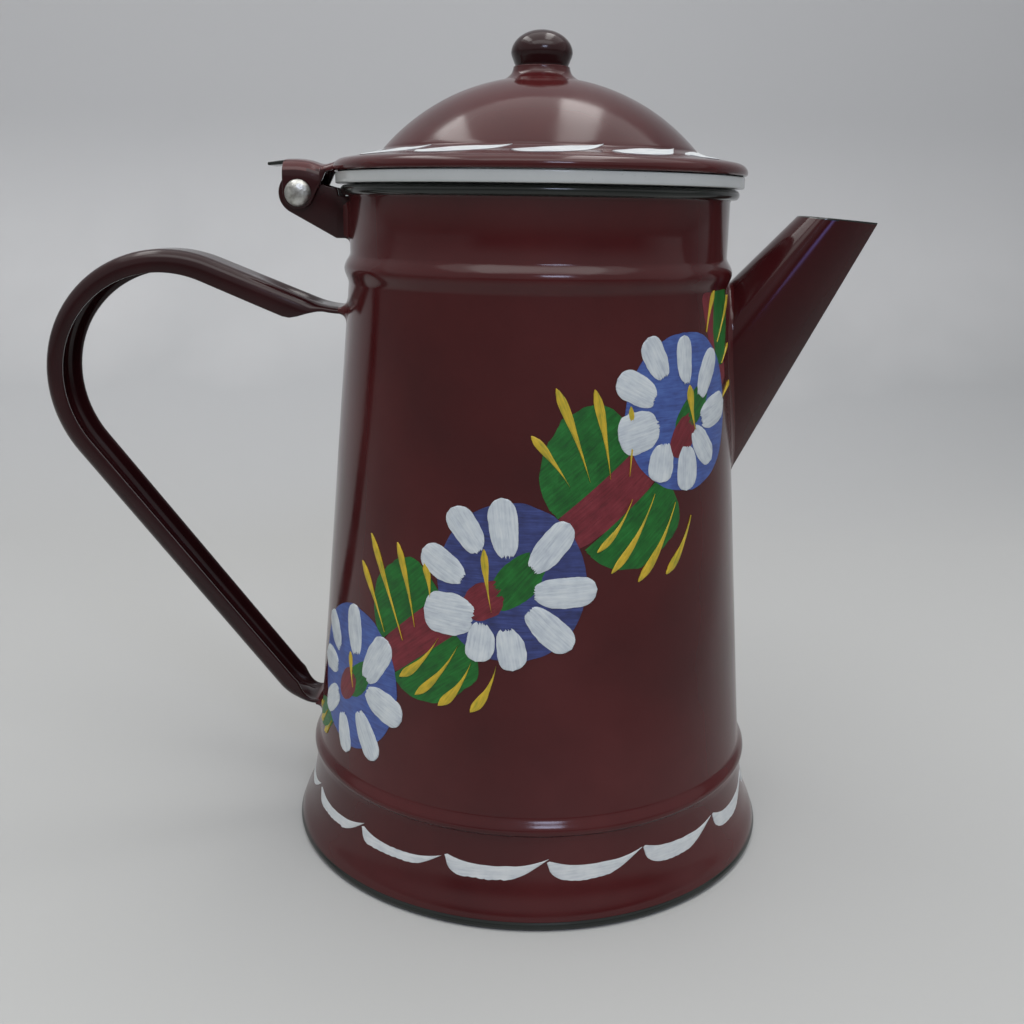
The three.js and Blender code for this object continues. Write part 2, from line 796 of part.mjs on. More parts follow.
const lid = new THREE.Group();
lid.add(lidShell(), lidCollar(), lidHingeLeaf(), lidKnob(), knobRivet());

const coffeePot = new THREE.Group();
coffeePot.add(pot, lid);

export default coffeePot;
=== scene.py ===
"""Enamel coffee pot with a hinged lid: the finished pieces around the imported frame.

Lengths are in millimetres and become metres where a mesh is made, but floor, lamps and camera are in metres.
The pot's axis is Z, the spout points along +X, and the handle and the hinge lie towards -X.
"""

import math
import random
from functools import partialmethod

import bmesh
import bpy
from mathutils import Matrix, Vector


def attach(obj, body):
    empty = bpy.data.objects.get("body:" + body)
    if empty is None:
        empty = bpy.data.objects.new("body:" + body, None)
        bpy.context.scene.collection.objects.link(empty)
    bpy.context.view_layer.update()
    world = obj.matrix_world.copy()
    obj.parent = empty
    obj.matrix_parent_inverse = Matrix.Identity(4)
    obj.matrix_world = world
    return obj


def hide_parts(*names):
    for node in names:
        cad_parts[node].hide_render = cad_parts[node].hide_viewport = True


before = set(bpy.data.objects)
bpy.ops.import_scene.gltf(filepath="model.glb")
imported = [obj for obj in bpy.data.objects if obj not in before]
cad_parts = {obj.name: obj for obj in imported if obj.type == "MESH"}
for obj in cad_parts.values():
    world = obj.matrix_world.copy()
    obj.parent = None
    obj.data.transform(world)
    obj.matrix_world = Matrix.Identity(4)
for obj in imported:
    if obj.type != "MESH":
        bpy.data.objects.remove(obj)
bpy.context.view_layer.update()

MM = 0.001

# Body
SHEET = 1.2
RIM_TOP = 188.8
CONE_FOOT_R, CONE_FOOT_Z = 64.55, 29.5
CONE_TOP_R, CONE_TOP_Z = 53.35, 162.6
TAIL_R, TAIL_Z = 64.1, 14.0
LOWER_BEAD_R, LOWER_BEAD_LOW, BEAD_STEPS = 66.4, 22.5, 14
UPPER_BEAD_R, NECK_FOOT_Z = 54.5, 170.6
NECK_R = 52.8
RIM_R, RIM_ROLL = 55.2, 2.7
SIDES = 192
STRAINER = {"Hole radius": 2.1, "First height": 121.0, "Pitch": 8.0, "Reach": 64.55}
HOLES_IN_ROWS = (1, 2, 3, 2, 3)

# Foot
FOOT_R, FOOT_ROLL = 71.3, 2.8
FOOT_TOP_R, FOOT_TOP_Z = 65.6, 22.4
FOOT_FLARE = ((0.8, 0.1), (0.47, 0.32), (0.2, 0.58), (0.06, 0.82))
FOOT_TRIM_TOP, FOOT_INSIDE_TOP = 2.5, 21.9

# Spout. The trim is pairs of a share along the sheet and a share across it.
LIP_BACK, LIP_BACK_Z, LIP_FRONT, LIP_FRONT_Z, LIP_WIDTH = 72.8, 182.4, 95.1, 180.8, 19.0
ROOT_LOW, ROOT_HIGH, ROOT_WIDTH = 108.4, 162.2, 29.0
ROOT_MIDDLE = (ROOT_LOW + ROOT_HIGH) / 2
AXIS_ROOT_X, AXIS_LIP_X = 58.0, 83.0
SPOUT_CORNER, SPOUT_POWER, SPOUT_STEPS, SPOUT_SUNK = 0.27, 1.7, 26, 0.5
TRIM_START, TRIM_HEIGHT = 0.985, 0.55
LIP_TRIM = ((0.992, 0.0), (0.9965, 0.04), (0.9993, 0.16), (1.0, 0.4), (1.0, 0.75), (0.996, 0.95))

# Welds: how far they spread, how deep they sink and how little they stand off, and the rounds they follow
SPOUT_WELD, UPPER_WELD, LOWER_WELD, BRACKET_WELD = 2.6, 2.6, 2.2, 1.7
WELD_SUNK, WELD_STEPS, WELD_FULLNESS, WELD_STAND, WELD_SPACING = 0.6, 7, 0.08, 0.02, 1.5
TONGUE_ROUND, BRACKET_ROUND = 0.85, 0.9

# Handle. Each dent is its depth, where it starts and is full, and where it fades and ends.
STRAP_WIDTH, STRAP_LOW_WIDTH, STRAP_DEPTH, STRAP_LOW_DEPTH = 17.5, 13.5, 7.2, 5.6
STRAP_CORNER, STRAP_END_DEPTH, STRAP_DEPTH_SHARE, STRAP_SUNK = 3.6, 1.8, 0.45, 0.9
STRAP_SPACING, BEND_STEP = 2.0, 3.0
ARCH_R, ARCH_X, ARCH_Z = 36.4, -105.2, 134.4
UPPER_TONGUE_Z, UPPER_REACH, UPPER_BEND = 155.6, 5.43, 24.0
LOWER_TONGUE_Z, LOWER_REACH, LOWER_BEND = 33.6, 8.7, 15.0
UPPER_TONGUE_FLAT, LOWER_TONGUE_FLAT, TONGUE_RAMP = 6.5, 3.5, 10.0
UPPER_DENT, LOWER_DENT = (1.7, 7.5, 13.0, 17.0, 31.0), (1.1, 3.5, 8.0, 9.0, 18.0)
DENT_HALF, DENT_POWER = 4.6, 1.2

# Hinge. The leaf's edge is its depth in front, and it gets its full round where it is deep.
PIN_X, PIN_Z, SHANK_R = -66.2, 186.5, 1.6
HEAD_R, HEAD_H, HEAD_EDGE = 3.65, 2.1, 0.25
EAR_R, EAR_OUTER, EAR_THICK = 5.8, 13.0, 1.5
EAR_FOOT, EAR_SLOPE, EAR_SHOULDER = 174.5, 27.5, 185.9
EAR_BACK_DROP, WELD_DROP = 1.9, 1.7
LEAF_WIDTH, CHEEK_R, CHEEK_THICK = 16.6, 4.3, 1.5
LEAF_TOP = ((-55.0, 195.6), (-57.4, 194.7), (-60.2, 194.1), (-63.4, 195.0), (-66.6, 195.4), (-70.5, 195.35))
LEAF_ROUND, LEAF_INNER_ROUND, LEAF_THICK, LEAF_CROWN = 4.6, 1.3, 1.3, 0.35
LEAF_EDGE, LEAF_LEAST, LEAF_DEEP, LEAF_SHALLOW_ROUND = 2.2, 1.9, 4.8, 1.5
CHEEK_END, CHEEK_REACH = -58.6, 3.72
TAB = ((-69.6, 195.3), (-74.9, 194.6), (-74.9, 193.7), (-69.6, 194.2))
TAB_HALF, TAB_START, LEAF_LIT_TOP_LOW = 5.5, -71.2, 192.6

# Lid
SEAT_Z = 189.1
COLLAR_R, COLLAR_DEPTH, BAND_R, BAND_H, COLLAR_ROUND = 50.9, 8.5, 56.4, 3.0, 0.45
BRIM_R, BRIM_FOOT, BRIM_TOP = 57.1, 192.4, 195.7
BRIM_ROUND, BRIM_SHOULDER, BRIM_RISE = 3.6, 2.5, 2.6
DOME_R, DOME_Z, DOME_START, DOME_END = 57.9, 160.1, 41.15, 79.45
NECK_TOP = 220.6
KNOB_R, KNOB_H, KNOB_FOOT_R, KNOB_MIDDLE = 8.4, 9.2, 7.2, 3.1

# Floor and backdrop, in metres
FLOOR_END, FLOOR_BACK, FLOOR_BEND, WALL_TOP = 12.0, 0.3, 0.25, 1.0


def mix(a, b, share):
    return a + (b - a) * share


def smooth_share(value, low, high):
    t = min(1.0, max(0.0, (value - low) / (high - low)))
    return t * t * (3 - 2 * t)


def quarter(steps):
    """The angles of a quarter turn."""
    return [math.pi / 2 * step / steps for step in range(steps + 1)]


def arc(x, z, radius, start, end, steps):
    """Points of an arc between two angles in degrees."""
    angles = [math.radians(mix(start, end, step / steps)) for step in range(steps + 1)]
    return [(x + radius * math.cos(a), z + radius * math.sin(a)) for a in angles]


def cone_radius(z):
    return mix(CONE_FOOT_R, CONE_TOP_R, (z - CONE_FOOT_Z) / (CONE_TOP_Z - CONE_FOOT_Z))


def smooth_line(points, steps):
    """A soft curve through every point."""
    line = []
    ends = [points[0], *points, points[-1]]
    for corners in zip(ends, ends[1:], ends[2:], ends[3:]):
        for t in (step / steps for step in range(steps)):
            line.append(tuple(
                0.5 * (2 * q + (r - p) * t + (2 * p - 5 * q + 4 * r - s) * t**2 + (3 * q - p - 3 * r + s) * t**3)
                for p, q, r, s in zip(*corners)
            ))
    return [*line, tuple(points[-1])]


def soft_bend(start, corner, end, steps):
    """Points of a bend that leaves start towards the corner and arrives at end."""
    shares = [step / steps for step in range(steps + 1)]
    return [start * (1 - t) ** 2 + corner * 2 * t * (1 - t) + end * t**2 for t in shares]


def softened(outline, radius):
    """A closed outline whose corners are turned into small rounds."""
    soft = []
    for before, here, after in zip([outline[-1], *outline], outline, [*outline[1:], outline[0]]):
        here = Vector(here)
        back, on = Vector(before) - here, Vector(after) - here
        start = here + back.normalized() * min(radius, back.length * 0.45)
        end = here + on.normalized() * min(radius, on.length * 0.45)
        soft += [tuple(point) for point in soft_bend(start, here, end, 4)]
    return soft


def quarter_round(radius, low, rise, steps):
    """Points of a quarter of an oval from (radius, low) up to the axis, without the last."""
    return [(radius * math.cos(a), low + rise * math.sin(a)) for a in quarter(steps)[:-1]]


def lengths_along(line):
    """How far each point of a line lies from its start."""
    lengths = [0.0]
    for before, after in zip(line, line[1:]):
        lengths.append(lengths[-1] + math.dist(before[:2], after[:2]))
    return lengths


def mirrored(line):
    """A line of (across, other) points that goes on over the middle to the far side."""
    return line + [(-across, other) for across, other in line[-2::-1]]


# ---- Nodes ----


class Field:
    """A value in a node tree. Arithmetic on it adds Math nodes."""

    def __init__(self, tree, socket):
        self.tree, self.socket = tree, socket

    def maths(self, operation, *others):
        node = self.tree.nodes.new("ShaderNodeMath")
        node.operation = operation
        for place, value in enumerate((self, *others)):
            put(self.tree, node.inputs[place], value)
        return Field(self.tree, node.outputs[0])

    __add__ = partialmethod(maths, "ADD")
    __sub__ = partialmethod(maths, "SUBTRACT")
    __mul__ = partialmethod(maths, "MULTIPLY")
    __truediv__ = partialmethod(maths, "DIVIDE")
    power = partialmethod(maths, "POWER")
    sine = partialmethod(maths, "SINE")
    cosine = partialmethod(maths, "COSINE")
    size = partialmethod(maths, "ABSOLUTE")
    at_least = partialmethod(maths, "MAXIMUM")
    at_most = partialmethod(maths, "MINIMUM")


def put(tree, socket, value):
    """Links a field or a socket to the socket, or sets its own value."""
    if isinstance(value, Field):
        tree.links.new(value.socket, socket)
    elif isinstance(value, bpy.types.NodeSocket):
        tree.links.new(value, socket)
    else:
        socket.default_value = value


def add(tree, kind, inputs=None, **settings):
    node = tree.nodes.new(kind)
    for key, value in settings.items():
        setattr(node, key, value)
    for key, value in (inputs or {}).items():
        put(tree, node.inputs[key], value)
    return node


def combined(tree, x, y, z):
    return add(tree, "ShaderNodeCombineXYZ", {"X": x, "Y": y, "Z": z}).outputs[0]


def split(tree, vector):
    return [Field(tree, part) for part in add(tree, "ShaderNodeSeparateXYZ", {0: vector}).outputs]


def scaled(tree, vector, factors):
    return add(tree, "ShaderNodeVectorMath", {0: vector, 1: factors}, operation="MULTIPLY").outputs[0]


def noise(tree, vector, scale, detail=3.0, roughness=0.5):
    inputs = {"Vector": vector, "Scale": scale, "Detail": detail, "Roughness": roughness}
    return Field(tree, add(tree, "ShaderNodeTexNoise", inputs).outputs[0])


def cells_of(tree, vector, scale):
    return add(tree, "ShaderNodeTexVoronoi", {"Vector": vector, "Scale": scale}).outputs["Distance"]


def mixed(tree, share, first, second):
    inputs = {"Factor": share, "A": first, "B": (*second, 1)}
    return add(tree, "ShaderNodeMix", inputs, data_type="RGBA").outputs["Result"]


def ramp(tree, share, stops):
    """A colour or grey ramp over a share, from (position, colour) stops."""
    node = add(tree, "ShaderNodeValToRGB", {"Fac": share})
    elements = node.color_ramp.elements
    while len(elements) < len(stops):
        elements.new(0.5)
    for element, (position, colour) in zip(elements, stops):
        element.position = position
        element.color = (*colour, 1) if hasattr(colour, "__len__") else (colour, colour, colour, 1)
    return Field(tree, node.outputs["Color"])


def curve(tree, share, points):
    node = add(tree, "ShaderNodeFloatCurve", {"Value": share})
    line = node.mapping.curves[0]
    while len(line.points) < len(points):
        line.points.new(0.5, 0.5)
    for point, place in zip(line.points, points):
        point.location = place
        point.handle_type = "AUTO"
    node.mapping.update()
    return Field(tree, node.outputs[0])


def coordinates(tree, kind="Object"):
    return add(tree, "ShaderNodeTexCoord").outputs[kind]


def new_finish(name):
    """A material, its tree and its shader's inputs."""
    finish = bpy.data.materials.new(name)
    finish.use_nodes = True
    return finish, finish.node_tree, finish.node_tree.nodes["Principled BSDF"].inputs


def bumped(tree, look, heights):
    """Adds (height, distance in metres, strength) bumps one on another."""
    normal = None
    for height, distance, strength in heights:
        node = add(tree, "ShaderNodeBump", {"Height": height, "Distance": distance, "Strength": strength})
        if normal is not None:
            put(tree, node.inputs["Normal"], normal)
        normal = node.outputs["Normal"]
    put(tree, look["Normal"], normal)


def enamel(name, dark, plain, pale, gloss=(0.1, 0.2), waviness=0.5, ior=1.5):
    """Fired enamel: a glassy coat with slow waves, fine orange peel, and specks."""
    finish, tree, look = new_finish(name)
    place = coordinates(tree)
    cloud = noise(tree, place, 22.0, 4.0, 0.55)
    colour = ramp(tree, cloud, ((0.3, dark), (0.52, plain), (0.75, pale)))
    specks = ramp(tree, cells_of(tree, place, 620.0), ((0.02, 1.0), (0.075, 0.0)))
    put(tree, look["Base Color"], mixed(tree, specks, colour, [part * 0.45 for part in dark]))
    smear = noise(tree, place, 55.0, 5.0, 0.6)
    put(tree, look["Roughness"], ramp(tree, smear, ((0.35, gloss[0]), (0.7, gloss[1]))))
    waves, peel = noise(tree, place, 38.0, 1.0), noise(tree, place, 420.0, 2.0)
    bumped(tree, look, ((waves, 0.0004, waviness), (peel, 0.00002, 0.35)))
    look["IOR"].default_value = ior
    return finish


def brushed_paint(name, deep, plain, thin):
    """Hand paint with bristle streaks along each stroke, read from the stroke's own attribute."""
    finish, tree, look = new_finish(name)
    stroke_place = add(tree, "ShaderNodeAttribute", attribute_name="brush").outputs["Vector"]
    streaks = noise(tree, scaled(tree, stroke_place, (0.09, 1.0, 1.0)), 1.9, 4.0, 0.62)
    patches = noise(tree, stroke_place, 0.32, 2.0)
    share = streaks * 0.62 + patches * 0.38
    put(tree, look["Base Color"], ramp(tree, share, ((0.34, deep), (0.5, plain), (0.66, thin))))
    put(tree, look["Roughness"], ramp(tree, patches, ((0.3, 0.42), (0.7, 0.54))))
    bumped(tree, look, ((streaks, 0.00012, 0.6),))
    return finish


def rivet_steel(name):
    """Dull plated steel with small hammer dents and patches of grime."""
    finish, tree, look = new_finish(name)
    place = coordinates(tree)
    stains = noise(tree, place, 520.0, 5.0, 0.6)
    colours = ((0.3, (0.28, 0.27, 0.25)), (0.5, (0.5, 0.5, 0.47)), (0.7, (0.62, 0.62, 0.6)))
    put(tree, look["Base Color"], ramp(tree, stains, colours))
    put(tree, look["Roughness"], ramp(tree, stains, ((0.35, 0.52), (0.65, 0.36))))
    bumped(tree, look, ((cells_of(tree, place, 760.0), 0.0002, 0.5), (stains, 0.00005, 0.5)))
    look["Metallic"].default_value = 1.0
    return finish


maroon = enamel("maroon_enamel", (0.044, 0.0058, 0.0068), (0.06, 0.0078, 0.0086), (0.078, 0.0118, 0.0126), ior=1.41)
# The spout's enamel is a darker copy of the body's: painted shade on the spout. Its lower IOR dims its reflections.
shaded_spout_maroon = enamel("spout_enamel_painted_shade", (0.028, 0.0045, 0.0055), (0.04, 0.006, 0.007), (0.054, 0.009, 0.01), ior=1.3)
deep_maroon = enamel(
    "deep_maroon_enamel", (0.014, 0.0034, 0.004), (0.023, 0.0048, 0.0056), (0.034, 0.0074, 0.0084), ior=1.38
)
black_trim = enamel("black_trim_enamel", (0.005, 0.007, 0.006), (0.008, 0.011, 0.009), (0.016, 0.02, 0.017))
white_inside = enamel(
    "white_fired_enamel", (0.45, 0.47, 0.465), (0.5, 0.52, 0.515), (0.56, 0.575, 0.565), (0.12, 0.24), 0.3
)
steel = rivet_steel("rivet_steel_worn")
white_paint = brushed_paint("white_petal_paint", (0.42, 0.465, 0.52), (0.55, 0.6, 0.63), (0.65, 0.69, 0.7))
border_paint = brushed_paint("white_border_paint", (0.47, 0.5, 0.53), (0.57, 0.6, 0.61), (0.64, 0.66, 0.66))
blue_paint = brushed_paint("blue_ground_paint", (0.036, 0.058, 0.21), (0.05, 0.092, 0.31), (0.075, 0.14, 0.4))
navy_paint = brushed_paint("navy_ground_paint", (0.018, 0.022, 0.085), (0.03, 0.042, 0.16), (0.048, 0.07, 0.24))
green_paint = brushed_paint("green_leaf_paint", (0.0015, 0.06, 0.006), (0.003, 0.112, 0.01), (0.008, 0.165, 0.02))
yellow_paint = brushed_paint("yellow_vein_paint", (0.26, 0.26, 0.02), (0.52, 0.37, 0.02), (0.66, 0.45, 0.03))
red_paint = brushed_paint("red_ribbon_paint", (0.1, 0.007, 0.012), (0.155, 0.011, 0.02), (0.2, 0.02, 0.03))


# ---- Meshes ----

# Edges stay sharp where faces meet at more degrees than this.
SHARP = 40


def linked(name, data):
    """A new object in the scene."""
    thing = bpy.data.objects.new(name, data)
    bpy.context.scene.collection.objects.link(thing)
    return thing


def new_mesh(name, points, faces=()):
    mesh = bpy.data.meshes.new(name)
    mesh.from_pydata(points, [], faces)
    return mesh


def shaded(mesh, sharp):
    mesh.shade_smooth()
    mesh.set_sharp_from_angle(angle=math.radians(sharp))


def mesh_piece(name, points, faces, finishes, rule=None, sharp=SHARP):
    """A piece from points in millimetres. The rule gives each face its finish from the face's middle."""
    piece = linked(name, new_mesh(name, [Vector(point) * MM for point in points], faces))
    return finished(piece, finishes, rule, sharp)


def finished(piece, finishes, rule=None, sharp=SHARP):
    """Merges doubles, turns the faces outwards and gives them their finishes."""
    mesh = piece.data
    work = bmesh.new()
    work.from_mesh(mesh)
    bmesh.ops.remove_doubles(work, verts=work.verts, dist=1e-7)
    bmesh.ops.dissolve_degenerate(work, edges=work.edges, dist=1e-8)
    bmesh.ops.recalc_face_normals(work, faces=work.faces)
    work.to_mesh(mesh)
    work.free()
    mesh.materials.clear()
    for finish in finishes:
        mesh.materials.append(finish)
    for face in mesh.polygons:
        face.material_index = rule(face.center / MM) if rule else 0
    shaded(mesh, sharp)
    return piece


def made_plain(piece):
    """Turns the piece's modifiers into a plain mesh of its own."""
    graph = bpy.context.evaluated_depsgraph_get()
    graph.update()
    mesh = bpy.data.meshes.new_from_object(piece.evaluated_get(graph), depsgraph=graph)
    piece.modifiers.clear()
    piece.data = mesh
    mesh.name = piece.name
    return piece


def bevelled(piece, width, segments, angle):
    bevel = piece.modifiers.new("edge_round", "BEVEL")
    bevel.width, bevel.segments = width * MM, segments
    bevel.limit_method, bevel.angle_limit = "ANGLE", math.radians(angle)
    return made_plain(piece)


def turned(name, outline, finishes, rule=None, sides=SIDES, sharp=SHARP, along=Matrix.Identity(4)):
    """A closed piece turned round an axis from an outline of (radius, height) points."""
    points, rows = [], []
    for radius, height in outline:
        count = 1 if radius < 1e-6 else sides
        rows.append(list(range(len(points), len(points) + count)))
        for side in range(count):
            angle, reach = math.tau * side / sides, 0 if count == 1 else radius
            points.append(along @ Vector((reach * math.cos(angle), reach * math.sin(angle), height)))
    on_axis = len(rows[0]) == 1
    faces = []
    for low, high in zip(rows, rows[1:] if on_axis else [*rows[1:], rows[0]]):
        for side in range(sides):
            beside = (side + 1) % sides
            if len(low) == 1:
                faces.append((low[0], high[beside], high[side]))
            elif len(high) == 1:
                faces.append((low[side], low[beside], high[0]))
            else:
                faces.append((low[side], low[beside], high[beside], high[side]))
    return mesh_piece(name, points, faces, finishes, rule, sharp)


def looped(name, rings, finishes, closed=True, sharp=SHARP):
    """A skin over rings of equal count, which joins the last ring to the first or caps both."""
    points = [point for ring in rings for point in ring]
    count = len(rings[0])
    faces = []
    for ring in range(len(rings) if closed else len(rings) - 1):
        here, there = ring * count, ((ring + 1) % len(rings)) * count
        for at in range(count):
            beside = (at + 1) % count
            faces.append((here + at, here + beside, there + beside, there + at))
    last = (len(rings) - 1) * count
    for at in range(0 if closed else count // 2 - 1):
        across = count - 1 - at
        faces.append((at, at + 1, across - 1, across))
        faces.append((last + at, last + across, last + across - 1, last + at + 1))
    return mesh_piece(name, points, faces, finishes, sharp=sharp)


def plate(name, outline, low_y, high_y, finish):
    """A plate between two Y values from a side view of (x, z) points."""
    count = len(outline)
    faces = [tuple(range(count)), tuple(range(2 * count - 1, count - 1, -1))]
    for at in range(count):
        beside = (at + 1) % count
        faces.append((at, beside, beside + count, at + count))
    return mesh_piece(name, [(x, y, z) for y in (low_y, high_y) for x, z in outline], faces, [finish])


def joined(name, parts):
    """Several meshes as one piece, finishes kept."""
    finishes = []
    for part in parts:
        finishes += [finish for finish in part.data.materials if finish not in finishes]
    whole = bmesh.new()
    for part in parts:
        before = len(whole.faces)
        whole.from_mesh(part.data)
        whole.faces.ensure_lookup_table()
        own = list(part.data.materials)
        for face in whole.faces[before:]:
            face.material_index = finishes.index(own[face.material_index])
    mesh = bpy.data.meshes.new(name)
    whole.to_mesh(mesh)
    whole.free()
    for finish in finishes:
        mesh.materials.append(finish)
    shaded(mesh, SHARP)
    for part in parts:
        bpy.data.objects.remove(part)
    return linked(name, mesh)


# ---- Geometry trees ----


def new_tree(name, passed, numbers, finish):
    """A geometry tree that takes a mesh, numbers and a finish. Returns it with its inputs as fields."""
    tree = bpy.data.node_groups.new(name, "GeometryNodeTree")

    def socket(label, kind, way="INPUT"):
        return tree.interface.new_socket(label, in_out=way, socket_type=f"NodeSocket{kind}")

    socket(passed, "Geometry")
    for label, value in numbers.items():
        socket(label, "Int" if isinstance(value, int) else "Float").default_value = value
    socket(finish, "Material")
    socket(passed, "Geometry", "OUTPUT")
    start = tree.nodes.new("NodeGroupInput")
    return tree, {s.name: Field(tree, s) for s in start.outputs if s.name}


def realized(tree, geometry):
    return add(tree, "GeometryNodeRealizeInstances", {0: geometry}).outputs[0]


def closed_tree(tree, geometry, finish):
    coat = add(tree, "GeometryNodeSetMaterial", {"Geometry": realized(tree, geometry), "Material": finish})
    put(tree, tree.nodes.new("NodeGroupOutput").inputs[0], coat.outputs[0])
    return tree


def shaped_by(piece, tree, values):
    """Gives the piece a node tree, sets its named inputs, and keeps the result as a plain mesh."""
    modifier = piece.modifiers.new(tree.name, "NODES")
    modifier.node_group = tree
    for item in tree.interface.items_tree:
        if item.in_out == "INPUT" and item.name in values:
            modifier[item.identifier] = values[item.name]
    return made_plain(piece)


# ---- Pot: body and foot ----


def bead(low_z, low_r, high_z, high_r, crest, inset):
    line = []
    for t in (step / BEAD_STEPS for step in range(BEAD_STEPS + 1)):
        wall = mix(low_r, high_r, t)
        line.append((wall + math.sin(math.pi * t) ** 1.5 * (crest - wall) - inset, mix(low_z, high_z, t)))
    return line


def body_side(inset):
    return [
        (TAIL_R - inset, TAIL_Z),
        *bead(LOWER_BEAD_LOW, TAIL_R, CONE_FOOT_Z, CONE_FOOT_R, LOWER_BEAD_R, inset),
        *bead(CONE_TOP_Z, CONE_TOP_R, NECK_FOOT_Z, NECK_R, UPPER_BEAD_R, inset),
    ]


def body_outline():
    roll = RIM_ROLL / 2
    roll_r = RIM_R - roll
    lip = roll_r - (NECK_R - SHEET)
    return [
        *body_side(0),
        (NECK_R, RIM_TOP - RIM_ROLL - 0.6),
        (NECK_R + 0.25, RIM_TOP - RIM_ROLL - 0.1),
        *arc(roll_r, RIM_TOP - roll, roll, -100, 90, 16),
        *arc(roll_r, RIM_TOP - lip, lip, 112, 180, 6),
        *body_side(SHEET)[::-1],
    ]


def side_radius(z):
    """The body's outside radius at a height, beads and neck included."""
    side = [*body_side(0), (NECK_R, RIM_TOP)]
    for (low_r, low_z), (high_r, high_z) in zip(side, side[1:]):
        if low_z <= z <= high_z:
            return mix(low_r, high_r, (z - low_z) / (high_z - low_z))
    return TAIL_R


def body_finish(middle):
    if middle.z > RIM_TOP - RIM_ROLL - 0.3:
        return 1
    return 2 if math.hypot(middle.x, middle.y) < side_radius(middle.z) - 0.7 else 0


def strainer_tree():
    """Rows of holes on a staggered pitch, drilled through the wall along +X."""
    sizes = {label: value * MM for label, value in STRAINER.items()}
    tree, given = new_tree("strainer_holes", "Wall", sizes, "Enamel")
    pitch, reach = given["Pitch"], given["Reach"]
    gather = add(tree, "GeometryNodeJoinGeometry")
    for row, count in enumerate(HOLES_IN_ROWS):
        first = combined(tree, reach, pitch * (-(count - 1) / 2), given["First height"] + pitch * row)
        spots = {"Count": count, "Start Location": first, "Offset": combined(tree, 0.0, pitch, 0.0)}
        put(tree, gather.inputs[0], add(tree, "GeometryNodeMeshLine", spots).outputs[0])
    drill = add(tree, "GeometryNodeMeshCylinder", {"Vertices": 24, "Radius": given["Hole radius"], "Depth": reach})
    laid = {"Points": gather.outputs[0], "Instance": drill.outputs[0], "Rotation": (0, math.pi / 2, 0)}
    holes = add(tree, "GeometryNodeInstanceOnPoints", laid).outputs[0]
    cut = add(tree, "GeometryNodeMeshBoolean", operation="DIFFERENCE")
    put(tree, cut.inputs[0], given["Wall"])
    put(tree, cut.inputs[1], realized(tree, holes))
    return closed_tree(tree, cut.outputs[0], given["Enamel"])


body = turned("enamel_body", body_outline(), [maroon])
shaped_by(body, strainer_tree(), {"Enamel": maroon})
finished(body, [maroon, black_trim, white_inside], body_finish)


def foot_side(inset):
    flare = [
        (mix(FOOT_TOP_R, FOOT_R, share) - inset, mix(FOOT_ROLL, FOOT_TOP_Z, rise)) for share, rise in FOOT_FLARE
    ]
    top = [(FOOT_TOP_R - inset, FOOT_TOP_Z), (FOOT_TOP_R + 0.05 - inset, FOOT_TOP_Z + 1.5)]
    return smooth_line([(FOOT_R - 0.5 - inset, FOOT_ROLL - 0.2), *flare, *top], 5)


def foot_outline():
    roll = FOOT_ROLL / 2
    return [
        *arc(FOOT_R - roll, roll, roll, 180, 400, 20),
        *foot_side(0),
        (FOOT_TOP_R + 0.1, FOOT_TOP_Z + 2.1),
        (FOOT_TOP_R - 0.3, FOOT_TOP_Z + 2.3),
        (FOOT_TOP_R - SHEET, FOOT_TOP_Z + 0.9),
        *foot_side(SHEET)[-2::-1],
    ]


def foot_finish(middle):
    if middle.z < FOOT_TRIM_TOP:
        return 1
    return 2 if math.hypot(middle.x, middle.y) < FOOT_TOP_R - 0.6 and middle.z < FOOT_INSIDE_TOP else 0


foot = turned("enamel_foot", foot_outline(), [maroon, black_trim, white_inside], foot_finish)


# ---- Pot: spout ----


def spout_section():
    """The section, from the rounded back to the fold and back: shares along and shares of the half width."""
    half = [(SPOUT_CORNER * (1 - math.cos(a)), math.sin(a)) for a in quarter(14)]
    for t in (step / 24 for step in range(1, 25)):
        half.append((mix(SPOUT_CORNER, 1, t), 1 - t**SPOUT_POWER))
    return [(along, -across) for along, across in half] + half[-2:0:-1]


def spout_rows(inset):
    """Pairs of lip point and root point, one pair for each straight line of the sheet."""
    lip = (
        Vector((LIP_BACK + inset, 0, LIP_BACK_Z)),
        Vector((LIP_FRONT - inset, 0, LIP_FRONT_Z)),
        LIP_WIDTH - 2 * inset,
    )
    root = (
        Vector((cone_radius(ROOT_HIGH), 0, ROOT_HIGH - inset)),
        Vector((cone_radius(ROOT_LOW), 0, ROOT_LOW + inset)),
        ROOT_WIDTH - 2 * inset,
    )

    def at(end, along, across):
        point = end[0].lerp(end[1], along)
        point.y = across * end[2] / 2
        return point

    return [(at(lip, *share), at(root, *share)) for share in spout_section()]


def met(rows, sunk):
    """The rows with each root where its line lies the given depth under the body's face."""
    lines = []
    for lip, root in rows:
        near, far = 0.5, 1.6
        for _ in range(40):
            middle = (near + far) / 2
            point = lip.lerp(root, middle)
            if math.hypot(point.x, point.y) > cone_radius(point.z) - sunk:
                near = middle
            else:
                far = middle
        lines.append((lip, lip.lerp(root, near)))
    return lines


